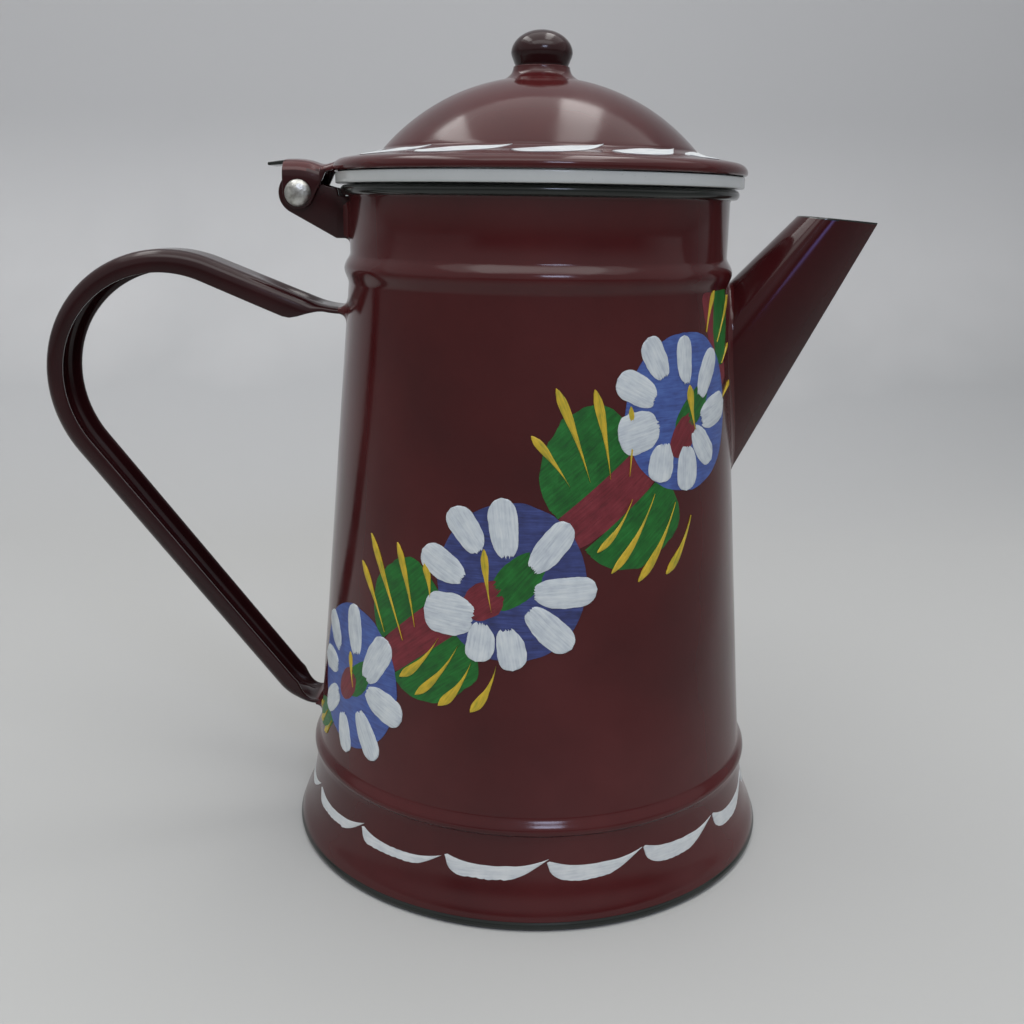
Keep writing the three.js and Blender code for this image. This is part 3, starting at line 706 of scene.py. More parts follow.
def spout():
    outer, inner = met(spout_rows(0), SPOUT_SUNK), met(spout_rows(SHEET), SPOUT_SUNK)
    shares = [step / SPOUT_STEPS for step in range(SPOUT_STEPS + 1)]
    rings = [[root.lerp(lip, share * TRIM_START) for lip, root in outer] for share in shares]
    rings += [
        [
            root.lerp(lip, share).lerp(inner_root.lerp(inner_lip, share), across)
            for (lip, root), (inner_lip, inner_root) in zip(outer, inner)
        ]
        for share, across in LIP_TRIM
    ]
    rings += [[root.lerp(lip, TRIM_START * (1 - share)) for lip, root in inner] for share in shares]
    piece = looped("enamel_spout", rings, [shaded_spout_maroon, black_trim, white_inside], sharp=55)
    for face in piece.data.polygons:
        middle = face.center / MM
        lip_height = mix(LIP_BACK_Z, LIP_FRONT_Z, (middle.x - LIP_BACK) / (LIP_FRONT - LIP_BACK))
        axis_x = mix(AXIS_ROOT_X, AXIS_LIP_X, (middle.z - ROOT_MIDDLE) / (LIP_BACK_Z - ROOT_MIDDLE))
        if middle.z > lip_height - TRIM_HEIGHT:
            face.material_index = 1
        elif face.normal.dot(Vector((middle.x - axis_x, middle.y, 0))) < 0:
            face.material_index = 2
    return piece


spout_piece = spout()


def weld_fillet(name, loop):
    """A concave run of enamel round a joint: each loop entry is the foot of the joint, the point up
    the joined sheet, the point out on the wall, and the direction out of the wall."""
    rings = []
    for foot_point, up_point, wall_point, out in loop:
        corner = foot_point + (up_point + wall_point - 2 * foot_point) * WELD_FULLNESS
        under = out * WELD_SUNK
        bend = soft_bend(up_point, corner, wall_point, WELD_STEPS)
        rings.append([*bend, wall_point - under, foot_point - under])
    return looped(name, rings, [maroon], sharp=70)


def spout_weld():
    lines = met(spout_rows(0), 0.0)
    feet = [root for _, root in lines]
    loop = []
    for index, (lip, root) in enumerate(lines):
        around = feet[(index + 1) % len(feet)] - feet[index - 1]
        out = Vector((root.x, root.y, 0)).normalized()
        side = around.cross(out).normalized()
        if side.dot(root - Vector((root.x, 0, ROOT_MIDDLE))) < 0:
            side = -side
        beyond = root + side * SPOUT_WELD
        flat = Vector((beyond.x, beyond.y, 0)).normalized() * (cone_radius(beyond.z) + WELD_STAND)
        up_point = root + (lip - root).normalized() * SPOUT_WELD + side * 0.03
        loop.append((root, up_point, Vector((flat.x, flat.y, beyond.z)), out))
    return weld_fillet("spout_weld", loop)


spout_weld_piece = spout_weld()


# ---- Pot: handle ----


def strap_route():
    """The outer face's route in the middle plane as (x, z, outward angle)."""

    def tangent(x, z, side):
        reach = math.hypot(x - ARCH_X, z - ARCH_Z)
        return math.degrees(math.atan2(z - ARCH_Z, x - ARCH_X) + side * math.acos(ARCH_R / reach))

    upper_x = -cone_radius(UPPER_TONGUE_Z) - UPPER_REACH
    lower_x = -cone_radius(LOWER_TONGUE_Z) - LOWER_REACH
    upper = tangent(upper_x, UPPER_TONGUE_Z, 1)
    lower = 360 + tangent(lower_x, LOWER_TONGUE_Z, -1)

    def bend(x, z, radius, start, end, flip):
        steps = max(2, round(abs(end - start) / BEND_STEP))
        line = arc(x, z, radius, start, end, steps)
        return [(px, pz, mix(start, end, index / steps) + flip) for index, (px, pz) in enumerate(line)]

    upper_bend_x = upper_x + UPPER_BEND * math.tan(math.radians(90 - upper) / 2)
    lower_bend_x = lower_x + LOWER_BEND * math.tan(math.radians(270 - lower) / 2)
    corners = [
        (-cone_radius(UPPER_TONGUE_Z) + STRAP_SUNK, UPPER_TONGUE_Z, 90.0),
        *bend(upper_bend_x, UPPER_TONGUE_Z + UPPER_BEND, UPPER_BEND, 270, 180 + upper, -180),
        *bend(ARCH_X, ARCH_Z, ARCH_R, upper, lower, 0),
        *bend(lower_bend_x, LOWER_TONGUE_Z + LOWER_BEND, LOWER_BEND, lower, 270, 0),
        (-cone_radius(LOWER_TONGUE_Z) + STRAP_SUNK, LOWER_TONGUE_Z, 270.0),
    ]
    route = [corners[0]]
    for before, after in zip(corners, corners[1:]):
        parts = max(1, round(math.dist(before[:2], after[:2]) / STRAP_SPACING))
        for part in range(1, parts + 1):
            route.append(tuple(mix(a, b, part / parts) for a, b in zip(before, after)))
    return route


def strap_section(width, depth, dent):
    """The channel's outer line and inner line; the dent presses the middle of its face inwards."""
    half = width / 2
    rise = min(STRAP_CORNER, depth - STRAP_END_DEPTH / 3)
    inner_rise = max(rise - SHEET, (depth - SHEET) / 2)
    lines = []
    for edge, round_, height, face in (
        (half, STRAP_CORNER, rise, 0),
        (half - SHEET, STRAP_CORNER - SHEET, inner_rise, SHEET),
    ):
        corner = [(edge - round_ * (1 - math.cos(a)), face + height * (1 - math.sin(a))) for a in quarter(7)]
        flats = [corner[-1][0] * share for share in (0.8, 0.6, 0.4, 0.2, 0.0)]
        pressed = [(x, face + dent * max(0.0, 1 - (abs(x) / DENT_HALF) ** 2) ** DENT_POWER) for x in flats]
        lines.append(mirrored([(edge, depth), *corner, *pressed]))
    return lines


def dent_depth(along, dent):
    depth, start, full, fades, end = dent
    return depth * smooth_share(along, start, full) * (1 - smooth_share(along, fades, end))


def handle():
    route = strap_route()
    lengths = lengths_along(route)
    rings = []
    for (x, z, angle), along in zip(route, lengths):
        from_low = lengths[-1] - along
        full = mix(STRAP_DEPTH, STRAP_LOW_DEPTH, smooth_share(along / lengths[-1], 0.0, STRAP_DEPTH_SHARE))
        upper = smooth_share(along, UPPER_TONGUE_FLAT, UPPER_TONGUE_FLAT + TONGUE_RAMP)
        lower = smooth_share(from_low, LOWER_TONGUE_FLAT, LOWER_TONGUE_FLAT + TONGUE_RAMP)
        outer, inner = strap_section(
            mix(STRAP_WIDTH, STRAP_LOW_WIDTH, along / lengths[-1]),
            mix(STRAP_END_DEPTH, full, min(upper, lower)),
            dent_depth(along, UPPER_DENT) + dent_depth(from_low, LOWER_DENT),
        )
        inward = Vector((-math.cos(math.radians(angle)), 0, -math.sin(math.radians(angle))))
        rings.append([Vector((x, across, z)) + inward * down for across, down in [*outer, *inner[::-1]]])
    piece = looped("handle_strap_sheet", rings, [deep_maroon], closed=False, sharp=60)
    return finished(bevelled(piece, 0.28, 2, 60), [deep_maroon], sharp=60)


strap = handle()


def block_weld(name, half_width, low, high, radius, width):
    """A fillet round a part on the handle's side whose section at the wall is a rounded rectangle."""
    loop = []
    for y, z, start in (
        (half_width - radius, low + radius, -90),
        (half_width - radius, high - radius, 0),
        (-half_width + radius, high - radius, 90),
        (-half_width + radius, low + radius, 180),
    ):
        loop += arc(y, z, radius, start, start + 90, 6)
    outline = []
    for here, there in zip(loop, loop[1:] + loop[:1]):
        parts = max(1, math.ceil(math.dist(here, there) / WELD_SPACING))
        outline += [tuple(mix(a, b, part / parts) for a, b in zip(here, there)) for part in range(parts)]
    out = Vector((-1, 0, 0))

    def on_wall(y, z):
        wall = NECK_R if z > NECK_FOOT_Z else cone_radius(z)
        return Vector((-math.sqrt(wall**2 - y**2), y, z))

    rows = []
    for index, (y, z) in enumerate(outline):
        run = (Vector(outline[(index + 1) % len(outline)]) - Vector(outline[index - 1])).normalized()
        root, beyond = on_wall(y, z), on_wall(y + run.y * width, z - run.x * width)
        rows.append((root, root + out * width, beyond + out * WELD_STAND, out))
    return weld_fillet(name, rows)


upper_weld, lower_weld = (
    block_weld(f"handle_weld_{end}", width / 2, low, low + STRAP_END_DEPTH, TONGUE_ROUND, spread)
    for end, width, low, spread in (
        ("upper", STRAP_WIDTH, UPPER_TONGUE_Z - STRAP_END_DEPTH, UPPER_WELD),
        ("lower", STRAP_LOW_WIDTH, LOWER_TONGUE_Z, LOWER_WELD),
    )
)


# ---- Pot: hinge bracket and rivet ----


def ear_outline():
    low = arc(PIN_X, PIN_Z, EAR_R, 270 - EAR_SLOPE, 270 - EAR_SLOPE, 1)[0]
    foot_x = low[0] + (low[1] - EAR_FOOT) / math.tan(math.radians(EAR_SLOPE))
    inside = -(NECK_R - 1.0)
    return [
        (inside, EAR_FOOT),
        (inside, EAR_SHOULDER),
        (-RIM_R - 0.2, EAR_SHOULDER),
        (-RIM_R - 0.5, PIN_Z + 1.4),
        (-RIM_R - 3.0, PIN_Z + 1.9),
        *arc(PIN_X, PIN_Z, EAR_R, 28, 270 - EAR_SLOPE, 34),
        *arc(foot_x - 0.35, EAR_FOOT + 0.9, 0.9, 260, 270, 2),
    ]


def bracket():
    inner = EAR_OUTER / 2 - EAR_THICK
    parts = [
        bevelled(plate(name, ear_outline(), low_y, high_y, deep_maroon), 0.4, 3, 30)
        for name, low_y, high_y in (("ear_near", -EAR_OUTER / 2, -inner), ("ear_far", inner, EAR_OUTER / 2))
    ]
    rings = []
    for z in (EAR_FOOT, EAR_SHOULDER - EAR_BACK_DROP):
        across = [mix(-inner - 0.4, inner + 0.4, step / 12) for step in range(13)]
        outer = [Vector((-math.sqrt((NECK_R + 1.5) ** 2 - y * y), y, z)) for y in across]
        rings.append(outer + [Vector((p.x + 2.0, p.y, z)) for p in reversed(outer)])
    parts.append(looped("ear_back", rings, [deep_maroon], closed=False))
    return joined("hinge_bracket_sheet", parts)


bracket_piece = bracket()
bracket_weld = block_weld(
    "bracket_weld", EAR_OUTER / 2, EAR_FOOT, EAR_SHOULDER - WELD_DROP, BRACKET_ROUND, BRACKET_WELD
)


def rivet():
    shank = LEAF_WIDTH / 2 + 0.06
    dome = quarter_round(HEAD_R, shank + HEAD_EDGE, HEAD_H - HEAD_EDGE, 12)
    upper = [(SHANK_R, shank), (HEAD_R - 0.25, shank), (HEAD_R, shank + 0.12), *dome, (0.0, shank + HEAD_H)]
    lower = [(radius, -height) for radius, height in reversed(upper)]
    lay = Matrix.Translation((PIN_X, 0, PIN_Z)) @ Matrix.Rotation(math.pi / 2, 4, "X")
    return turned("hinge_rivet_heads", [*lower, *upper], [steel], sides=48, along=lay)


rivet_piece = rivet()


# ---- Lid ----


def leaf():
    """The lid's hinge leaf: an arched top whose sides turn down into two cheeks round the rivet."""
    half = LEAF_WIDTH / 2
    cheek_front = PIN_X + CHEEK_R * math.cos(math.radians(30))
    rings = []
    for x, top in smooth_line(LEAF_TOP, 8):
        if x < PIN_X - CHEEK_R * 0.999:
            low = PIN_Z
        elif x < cheek_front:
            low = PIN_Z - math.sqrt(max(0.0, CHEEK_R**2 - (x - PIN_X) ** 2))
        else:
            share = (x - cheek_front) / (CHEEK_END - PIN_X - CHEEK_REACH)
            low = mix(PIN_Z - CHEEK_R / 2, top - LEAF_EDGE, min(1.0, share))
        low = min(low, top - LEAF_LEAST)
        deep = top - low > LEAF_DEEP
        outer = [
            (
                half - LEAF_ROUND * (1 - math.cos(a)),
                top - LEAF_ROUND * (1 - math.sin(a)) if deep else mix(top - LEAF_SHALLOW_ROUND, top, math.sin(a)),
            )
            for a in quarter(8)
        ]
        edge, under_top = half - CHEEK_THICK, top - LEAF_THICK
        inner = [
            (edge - LEAF_INNER_ROUND * (1 - math.cos(a)), mix(outer[0][1] - 0.1, under_top, math.sin(a)))
            for a in quarter(8)
        ]
        section = []
        for line, side, height in ((outer, half, top), (inner, edge, under_top)):
            flats = [(line[-1][0] * share, height + LEAF_CROWN * (1 - share)) for share in (0.66, 0.33, 0.0)]
            section.append(mirrored([(side, min(low, line[0][1] - 0.05)), *line, *flats]))
        rings.append([Vector((x, y, z)) for y, z in [*section[0], *section[1][::-1]]])
    sheet = looped("leaf_sheet", rings, [deep_maroon], closed=False, sharp=60)
    tab = plate("leaf_tab", TAB, -TAB_HALF, TAB_HALF, black_trim)
    return joined("lid_leaf_sheet", [bevelled(sheet, 0.25, 2, 60), bevelled(tab, 0.3, 3, 30)])


# Painted light: the leaf's top band takes the paler body enamel and the rest the deep enamel, so the top reads lit.
def leaf_finish_lit_top(middle):
    return 1 if middle.x < TAB_START else (2 if middle.z > LEAF_LIT_TOP_LOW else 0)


leaf_piece = finished(leaf(), [deep_maroon, black_trim, maroon], leaf_finish_lit_top, sharp=60)


def lid_outline():
    dome, inner_dome = (arc(0, DOME_Z, radius, DOME_START, DOME_END, 40) for radius in (DOME_R, DOME_R - SHEET))
    cove = smooth_line([(49.6, 196.6), (47.6, 196.9), (45.7, 197.35), *dome[:2]], 4)
    inner_cove = smooth_line([(49.0, 195.4), (46.9, 195.8), (45.0, 196.3), *inner_dome[:2]], 4)
    neck = smooth_line([*dome[-2:], (9.3, 217.8), (8.3, 218.75), (7.85, 219.8), (7.75, 220.2)], 4)
    outer = [
        (BRIM_R - SHEET, BRIM_FOOT + 0.1),
        (BRIM_R - 0.5, BRIM_FOOT),
        (BRIM_R - 0.1, BRIM_FOOT + 0.3),
        *[
            (BRIM_R - BRIM_ROUND + BRIM_ROUND * out, BRIM_TOP - BRIM_SHOULDER + BRIM_RISE * up)
            for out, up in arc(0, 0, 1, 0, 80, 12)
        ],
        (52.0, 196.15),
        *cove,
        *dome[2:-2],
        *neck,
        *arc(7.45, NECK_TOP - 0.3, 0.3, 0, 90, 4),
        (0.0, NECK_TOP),
    ]
    inner = [
        (0.0, NECK_TOP - SHEET),
        (8.0 - SHEET, NECK_TOP - SHEET),
        (7.0, 218.2),
        *inner_dome[::-1][1:-2],
        *inner_cove[::-1],
        (53.0, 194.9),
        *arc(BRIM_R - 2, BRIM_TOP - 2, 2 - SHEET, 80, 0, 5),
    ]
    return [*outer[::-1], *inner[::-1]]


def lid():
    piece = turned("enamel_lid", lid_outline(), [maroon, white_inside])
    for face in piece.data.polygons:
        middle = face.center / MM
        reach = math.hypot(middle.x, middle.y)
        radial = Vector((middle.x, middle.y, 0)).normalized() if reach > 0.5 else Vector()
        if face.normal.dot(radial * 0.6 + Vector((0, 0, 1))) < -0.05 and reach < BRIM_R - 0.8:
            face.material_index = 1
    return piece


lid_shell = lid()

COLLAR_OUTLINE = (
    (COLLAR_R - SHEET, SEAT_Z - COLLAR_DEPTH),
    (COLLAR_R, SEAT_Z - COLLAR_DEPTH),
    (COLLAR_R, SEAT_Z),
    (BAND_R, SEAT_Z),
    (BAND_R, SEAT_Z + BAND_H),
    (BAND_R - SHEET, SEAT_Z + BAND_H),
    (BAND_R - SHEET, SEAT_Z + SHEET),
    (COLLAR_R - SHEET, SEAT_Z + SHEET),
)
collar = turned("white_collar", softened(COLLAR_OUTLINE, COLLAR_ROUND), [white_inside])


def knob_outline():
    foot_z = NECK_TOP + 0.3
    middle = foot_z + KNOB_MIDDLE
    upper = foot_z + KNOB_H - middle
    crown = quarter_round(KNOB_R, middle, upper, 26)
    flank = [(7.25, foot_z), (7.5, foot_z + 0.55), (7.8, foot_z + 1.3), (8.2, foot_z + 2.3), crown[0]]
    foot_line = [(0.0, foot_z - 0.35), (KNOB_FOOT_R, foot_z - 0.35)]
    return [*foot_line, *smooth_line(flank, 4)[:-1], *crown, (0.0, middle + upper)]


knob = turned("enamel_knob", knob_outline(), [deep_maroon], sides=72, sharp=60)


# ---- Painted decoration ----

FILM_UNDER = 0.12

# Each stroke's width along its length
WIDTHS = {
    "petal": (
        (0.0, 0.42), (0.07, 0.66), (0.25, 0.9), (0.52, 1.0), (0.78, 0.94), (0.91, 0.7), (0.97, 0.42), (1.0, 0.0)
    ),
    "dab": ((0.0, 0.62), (0.1, 0.84), (0.3, 1.0), (0.6, 0.94), (0.85, 0.66), (0.95, 0.4), (1.0, 0.0)),
    "leaf": (
        (0.0, 0.16), (0.05, 0.46), (0.16, 0.72), (0.38, 0.95), (0.62, 1.0), (0.84, 0.93), (0.95, 0.74), (1.0, 0.42)
    ),
    "vein": ((0.0, 0.0), (0.25, 0.2), (0.5, 0.52), (0.7, 0.92), (0.8, 1.0), (0.92, 0.66), (1.0, 0.08)),
    "comma": (
        (0.0, 0.0), (0.02, 0.44), (0.07, 0.7), (0.17, 0.9), (0.34, 1.0), (0.52, 0.88), (0.72, 0.5), (0.89, 0.18),
        (1.0, 0.0),
    ),
    "round": tuple((step / 12, math.sqrt(max(0.0, 1 - (step / 6 - 1) ** 2))) for step in range(13)),
    "ribbon": ((0.0, 0.45), (0.08, 0.74), (0.3, 0.95), (0.6, 1.0), (0.92, 0.8), (1.0, 0.5)),
}

# Each wall: its line of radius and height, and the way its paint stands out
WALLS = {
    "cone": ([(CONE_FOOT_R, CONE_FOOT_Z), (CONE_TOP_R, CONE_TOP_Z)], (0.996, 0.084)),
    "foot": ([(69.5, 5.0), (67.65, 10.0), (66.9, 13.0), (66.35, 16.0), (65.95, 19.0), (65.6, 22.4)], (0.97, 0.2)),
    "brim": (
        [(53.0, 196.05), (49.6, 196.6), (47.6, 196.9), (45.7, 197.35), (43.6, 198.2), (41.6, 200.4), (39.2, 202.7)],
        (0.3, 0.95),
    ),
}
FILM = {"Film height": 0.12, "Ragged end": 0.8, "Layer": 0.05, "Edge waver": 0.08}
RING = {
    "First angle": 0.0, "Place": 0.0, "Rise": 0.0, "Bearing": 0.0, "Long": 26.0, "Wide": 5.0, "Bow": 0.0, "Count": 12
}
STROKE_FIELDS = ("turn", "place", "bearing", "long", "wide", "bow", "side", "chance")


def stroke_tree(name, shape, wall_name, cells, ring):
    """Lays brush strokes on a wall of the pot. Each point of the input is a stroke, whose attributes say
    where it starts and how it runs. With ring, the tree makes evenly spaced points of its own."""
    tree, given = new_tree(name, "Marks", {**FILM, **(RING if ring else {}), "Seed": 7}, "Paint")

    def stored(label):
        node = add(tree, "GeometryNodeInputNamedAttribute", {"Name": label}, data_type="FLOAT")
        return Field(tree, node.outputs["Attribute"])

    def keep(geometry, label, value, kind="FLOAT"):
        inputs = {"Geometry": geometry, "Name": label, "Value": value}
        return add(tree, "GeometryNodeStoreNamedAttribute", inputs, data_type=kind, domain="POINT").outputs[0]

    def drawn(extra):
        inputs = {"Seed": given["Seed"] + extra}
        return Field(tree, add(tree, "FunctionNodeRandomValue", inputs, data_type="FLOAT").outputs["Value"])

    marks = given["Marks"]
    if ring:
        marks = add(tree, "GeometryNodeMeshLine", {"Count": given["Count"]}).outputs[0]
        index = Field(tree, add(tree, "GeometryNodeInputIndex").outputs[0])
        chance = [drawn(extra) for extra in (0, 31, 57)]
        near = [share - 0.5 for share in chance]
        turn = given["First angle"] + index * math.tau / given["Count"]
        for label, value in {
            "turn": turn + near[1] * 0.02,
            "place": given["Place"] + given["Rise"] * turn.cosine() + near[0] * 0.7,
            "bearing": given["Bearing"] + near[1] * 0.06,
            "long": given["Long"] * (near[2] * 0.06 + 1.0),
            "wide": given["Wide"] * (near[0] * 0.22 + 1.0),
            "bow": given["Bow"] * (near[2] * 0.2 + 1.0),
            "side": 0.0,
            "chance": chance[0],
        }.items():
            marks = keep(marks, label, value)

    box = add(tree, "GeometryNodeMeshCube", {"Vertices X": cells[0], "Vertices Y": cells[1], "Vertices Z": 2})
    x, y, z = split(tree, add(tree, "GeometryNodeInputPosition").outputs[0])
    blank = keep(box.outputs["Mesh"], "t", x + 0.5)
    blank = keep(blank, "s", y * 2.0)
    blank = keep(blank, "top", z.maths("GREATER_THAN", 0.0))
    placed = add(tree, "GeometryNodeInstanceOnPoints", {"Points": marks, "Instance": blank}).outputs[0]
    real = realized(tree, placed)
    t, s, top, chance_of, long, bearing = (
        stored(label) for label in ("t", "s", "top", "chance", "long", "bearing")
    )

    def wobble(x, y, scale):
        return noise(tree, combined(tree, x, y, chance_of * 41.0), scale, 2.0) - 0.5

    # The stroke on a flat sheet: u runs round the pot and v up it.
    waver = wobble(t * 2.0, s * 0.6 + chance_of * 7.0, 2.4) * given["Edge waver"] * 2.5 + 1.0
    ragged = wobble(s * 3.0, chance_of * 13.0, 3.0) * (t * -1.0 + 1.0).power(2.0) * given["Ragged end"] * 4.0
    run = t * long + ragged
    swept = t.power(0.74) if shape == "comma" else t
    across = (s + stored("side")) * curve(tree, t, WIDTHS[shape]) * stored("wide") * 0.5 * waver
    across = across + stored("bow") * swept * (swept * -1.0 + 1.0) * 4.0
    u = run * bearing.cosine() - across * bearing.sine()
    v = run * bearing.sine() + across * bearing.cosine()

    wall, lift = WALLS[wall_name]
    radii, heights = zip(*wall)
    lengths = lengths_along(wall) if wall_name == "brim" else [height - heights[0] for height in heights]

    def on_wall(share, values):
        if wall_name == "cone":
            return share * (values[1] - values[0]) + values[0]
        low, span = min(values), max(values) - min(values)
        points = [(length / lengths[-1], (value - low) / span) for length, value in zip(lengths, values)]
        return curve(tree, share, points) * span + low

    share = (stored("place") + v) / lengths[-1]
    radius, height = on_wall(share, radii), on_wall(share, heights)
    angle = stored("turn") + u / on_wall(stored("place") / lengths[-1], radii)
    ridges = wobble(t * 0.8, s * 2.2 + chance_of * 19.0, 2.6)
    swell = (s.size().power(4.0) * -1.0 + 1.0) * given["Film height"] * (ridges * 0.9 + 1.0)
    film = top * (swell + given["Layer"] + FILM_UNDER) - FILM_UNDER
    out, up = radius + film * lift[0], height + film * lift[1]
    spot = combined(tree, out * angle.cosine() * MM, out * angle.sine() * MM, up * MM)
    streaked = keep(real, "brush", combined(tree, run, across, chance_of * 60.0), "FLOAT_VECTOR")
    laid = add(tree, "GeometryNodeSetPosition", {"Geometry": streaked, "Position": spot}).outputs[0]
    return closed_tree(tree, laid, given["Paint"])


def stroke_piece(name, shape, wall, cells, values, marks=()):
    """A piece of brush strokes from rows of marks, or else from the tree's own ring of points."""
    tree = stroke_tree(f"{name}_strokes", shape, wall, cells, ring=not marks)
    mesh = new_mesh(name, [(0, 0, 0)] * (len(marks) or 1))
    for label, column in zip(STROKE_FIELDS, zip(*marks)):
        mesh.attributes.new(label, "FLOAT", "POINT").data.foreach_set("value", column)
    piece = linked(name, mesh)
    shaped_by(piece, tree, values)
    for label in ("t", "s", "top", *STROKE_FIELDS):
        layer = piece.data.attributes.get(label)
        if layer is not None:
            piece.data.attributes.remove(layer)
    return finished(piece, [values["Paint"]], sharp=50)


def stroke(here, row, bow, side, chance):
    """A brush stroke beside an (angle, height) on the cone, from (start u, start v, end u, end v, width)."""
    u, v, end_u, end_v, wide = row
    bearing = math.degrees(math.atan2(end_v - v, end_u - u))
    angle = here[0] + math.degrees(u / cone_radius(here[1]))
    return (angle, here[1] + v - CONE_FOOT_Z, bearing, math.hypot(end_u - u, end_v - v), wide, bow, side, chance)


def both_sides(marks):
    """Each mark and its twin across the middle plane, with angles in radians."""
    both = []
    for angle, place, bearing, long, wide, bow, side, chance in marks:
        both.append((math.radians(angle), place, math.radians(bearing), long, wide, bow, side, chance))
        both.append((math.radians(-angle), place, math.radians(180 - bearing), long, wide, -bow, -side, 1 - chance))
    return both


# Each flower and leaf pair has its middle as (angle, height), and strokes as rows of start u and v, end u and v,
# and width, in millimetres to the right of the middle and above it.
DAISIES = (
    {
        "middle": (-140.4, 57.1),
        "ground": (-23.0, 0.0, 17.4, 0.0, 40.5),
        "petals": (
            (-0.3, 7.2, -3.3, 20.5, 7.2), (5.0, 1.6, 13.1, 14.3, 8.4), (5.9, -2.2, 19.4, -6.5, 8.2),
            (2.6, -9.2, 10.5, -20.5, 7.2), (-6.0, -12.6, -2.5, -22.9, 6.6), (-9.4, -7.3, -18.8, -14.7, 7.2),
            (-11.2, -0.3, -23.4, -0.7, 7.0), (-10.5, 5.7, -20.0, 13.2, 7.0),
        ),
        "heart": (4.6, 3.4, -3.6, -5.0, 8.0),
        "ember": (-1.4, 0.6, -7.4, -7.4, 7.6),
        "vein": (-1.0, -3.0, -3.6, 6.6, 2.2),
    },
    {
        "middle": (-95.1, 91.8),
        "ground": (-19.6, 0.0, 19.6, 0.0, 41.0),
        "petals": (
            (-1.0, 7.0, -3.0, 21.8, 7.5), (5.6, 3.9, 14.8, 15.6, 7.3), (6.2, -2.2, 22.2, -1.4, 8.0),
            (4.9, -6.8, 15.8, -16.8, 7.6), (-0.6, -12.2, 1.2, -22.6, 7.4), (-7.0, -10.9, -8.3, -20.9, 7.4),
            (-9.4, -9.6, -23.2, -8.8, 11.2), (-12.6, 0.4, -24.2, 6.6, 7.8), (-8.4, 8.0, -16.3, 18.2, 7.4),
        ),
        "heart": (6.4, 5.6, -4.4, -6.2, 10.2),
        "ember": (-3.0, -2.0, -11.4, -8.6, 9.4),
        "vein": (-4.6, -7.7, -7.1, 8.5, 2.0),
    },
    {
        "middle": (-46.5, 133.5),
        "ground": (-19.4, -0.4, 22.0, -0.4, 41.0),
        "petals": (
            (-7.2, 9.4, -12.3, 19.2, 7.0), (0.8, 7.2, 0.2, 19.2, 5.8), (6.8, 3.4, 14.8, 14.6, 6.8),
            (7.4, -3.0, 21.4, 0.2, 8.2), (4.0, -5.4, 12.0, -14.4, 7.2), (0.7, -9.4, 0.2, -20.8, 7.8),
            (-7.5, -8.0, -9.2, -17.5, 8.0), (-9.6, -2.8, -21.2, -5.6, 10.6), (-10.6, 3.9, -21.4, 9.4, 7.8),
        ),
        "heart": (9.6, 4.6, -3.2, -5.0, 7.4),
        "ember": (2.6, -3.0, -4.6, -11.2, 8.0),
        "vein": (4.7, -6.6, 2.2, 6.4, 2.8),
    },
)
# A leaf's flat side runs along its first row, and its veins run from the thin end to the thick one.
LEAF_PAIRS = (
    {
        "middle": (-69.9, 114.9),
        "ribbon": (-13.4, -12.2, 14.6, 9.6, 12.4),
        "upper": (-13.9, -6.4, 8.6, 11.7, 18.2),
        "lower": (-6.9, -14.3, 15.6, 3.3, 15.2),
        "upper veins": (
            (-10.9, 1.5, -20.9, 14.3, 2.2), (-5.8, 2.7, -14.8, 26.0, 2.5), (-0.4, 3.2, -4.7, 25.6, 2.5),
            (4.9, 3.5, 5.3, 21.1, 2.1),
        ),
        "lower veins": (
            (5.7, -2.3, -3.9, -15.2, 1.7), (12.5, -1.6, -0.1, -20.9, 2.1), (19.5, -4.6, 7.3, -23.9, 2.4),
            (25.5, -9.0, 16.0, -23.2, 2.4),
        ),
    },
    {
        "middle": (-118.2, 74.1),
        "ribbon": (-12.4, -8.8, 11.4, 10.0, 11.0),
        "upper": (-13.0, -2.6, 5.6, 13.4, 15.0),
        "lower": (-8.2, -11.0, 12.0, 4.4, 13.4),
        "upper veins": (
            (-12.1, -0.5, -23.3, 16.6, 2.1), (-5.5, -1.2, -19.7, 24.9, 2.2), (-1.8, 3.2, -8.9, 24.6, 2.1),
            (2.6, 10.6, 0.5, 20.6, 2.0),
        ),
        "lower veins": (
            (5.5, 1.6, -5.9, -11.2, 2.4), (11.1, 0.4, -0.7, -15.0, 2.2), (14.8, -3.6, 6.2, -16.5, 2.6),
            (21.4, -3.7, 15.0, -16.9, 2.6),
        ),
    },
)
HIGH_END = {
    "middle": (-26.6, 155.3),
    "ribbon": (3.0, -17.0, -7.6, 8.0, 9.0),
    "leaf": (1.2, -11.6, 3.4, 10.6, 12.6),
    "veins": (
        (-8.2, -2.5, -3.0, 7.9, 2.2), (-1.7, -5.6, 11.8, 5.9, 2.0), (1.7, -11.5, 17.2, -4.4, 2.0),
        (1.0, -20.9, 17.4, -16.9, 2.6),
    ),
}
LOW_END = {
    "middle": (-160.0, 38.0),
    "leaf": (8.5, 3.0, -7.8, -1.7, 9.0),
    "veins": ((7.5, 1.0, 0.8, -5.0, 2.2), (3.0, 2.5, -5.9, -4.0, 2.2), (-2.0, 3.4, -10.4, -1.0, 2.2)),
}


GARLAND_SEED = 21


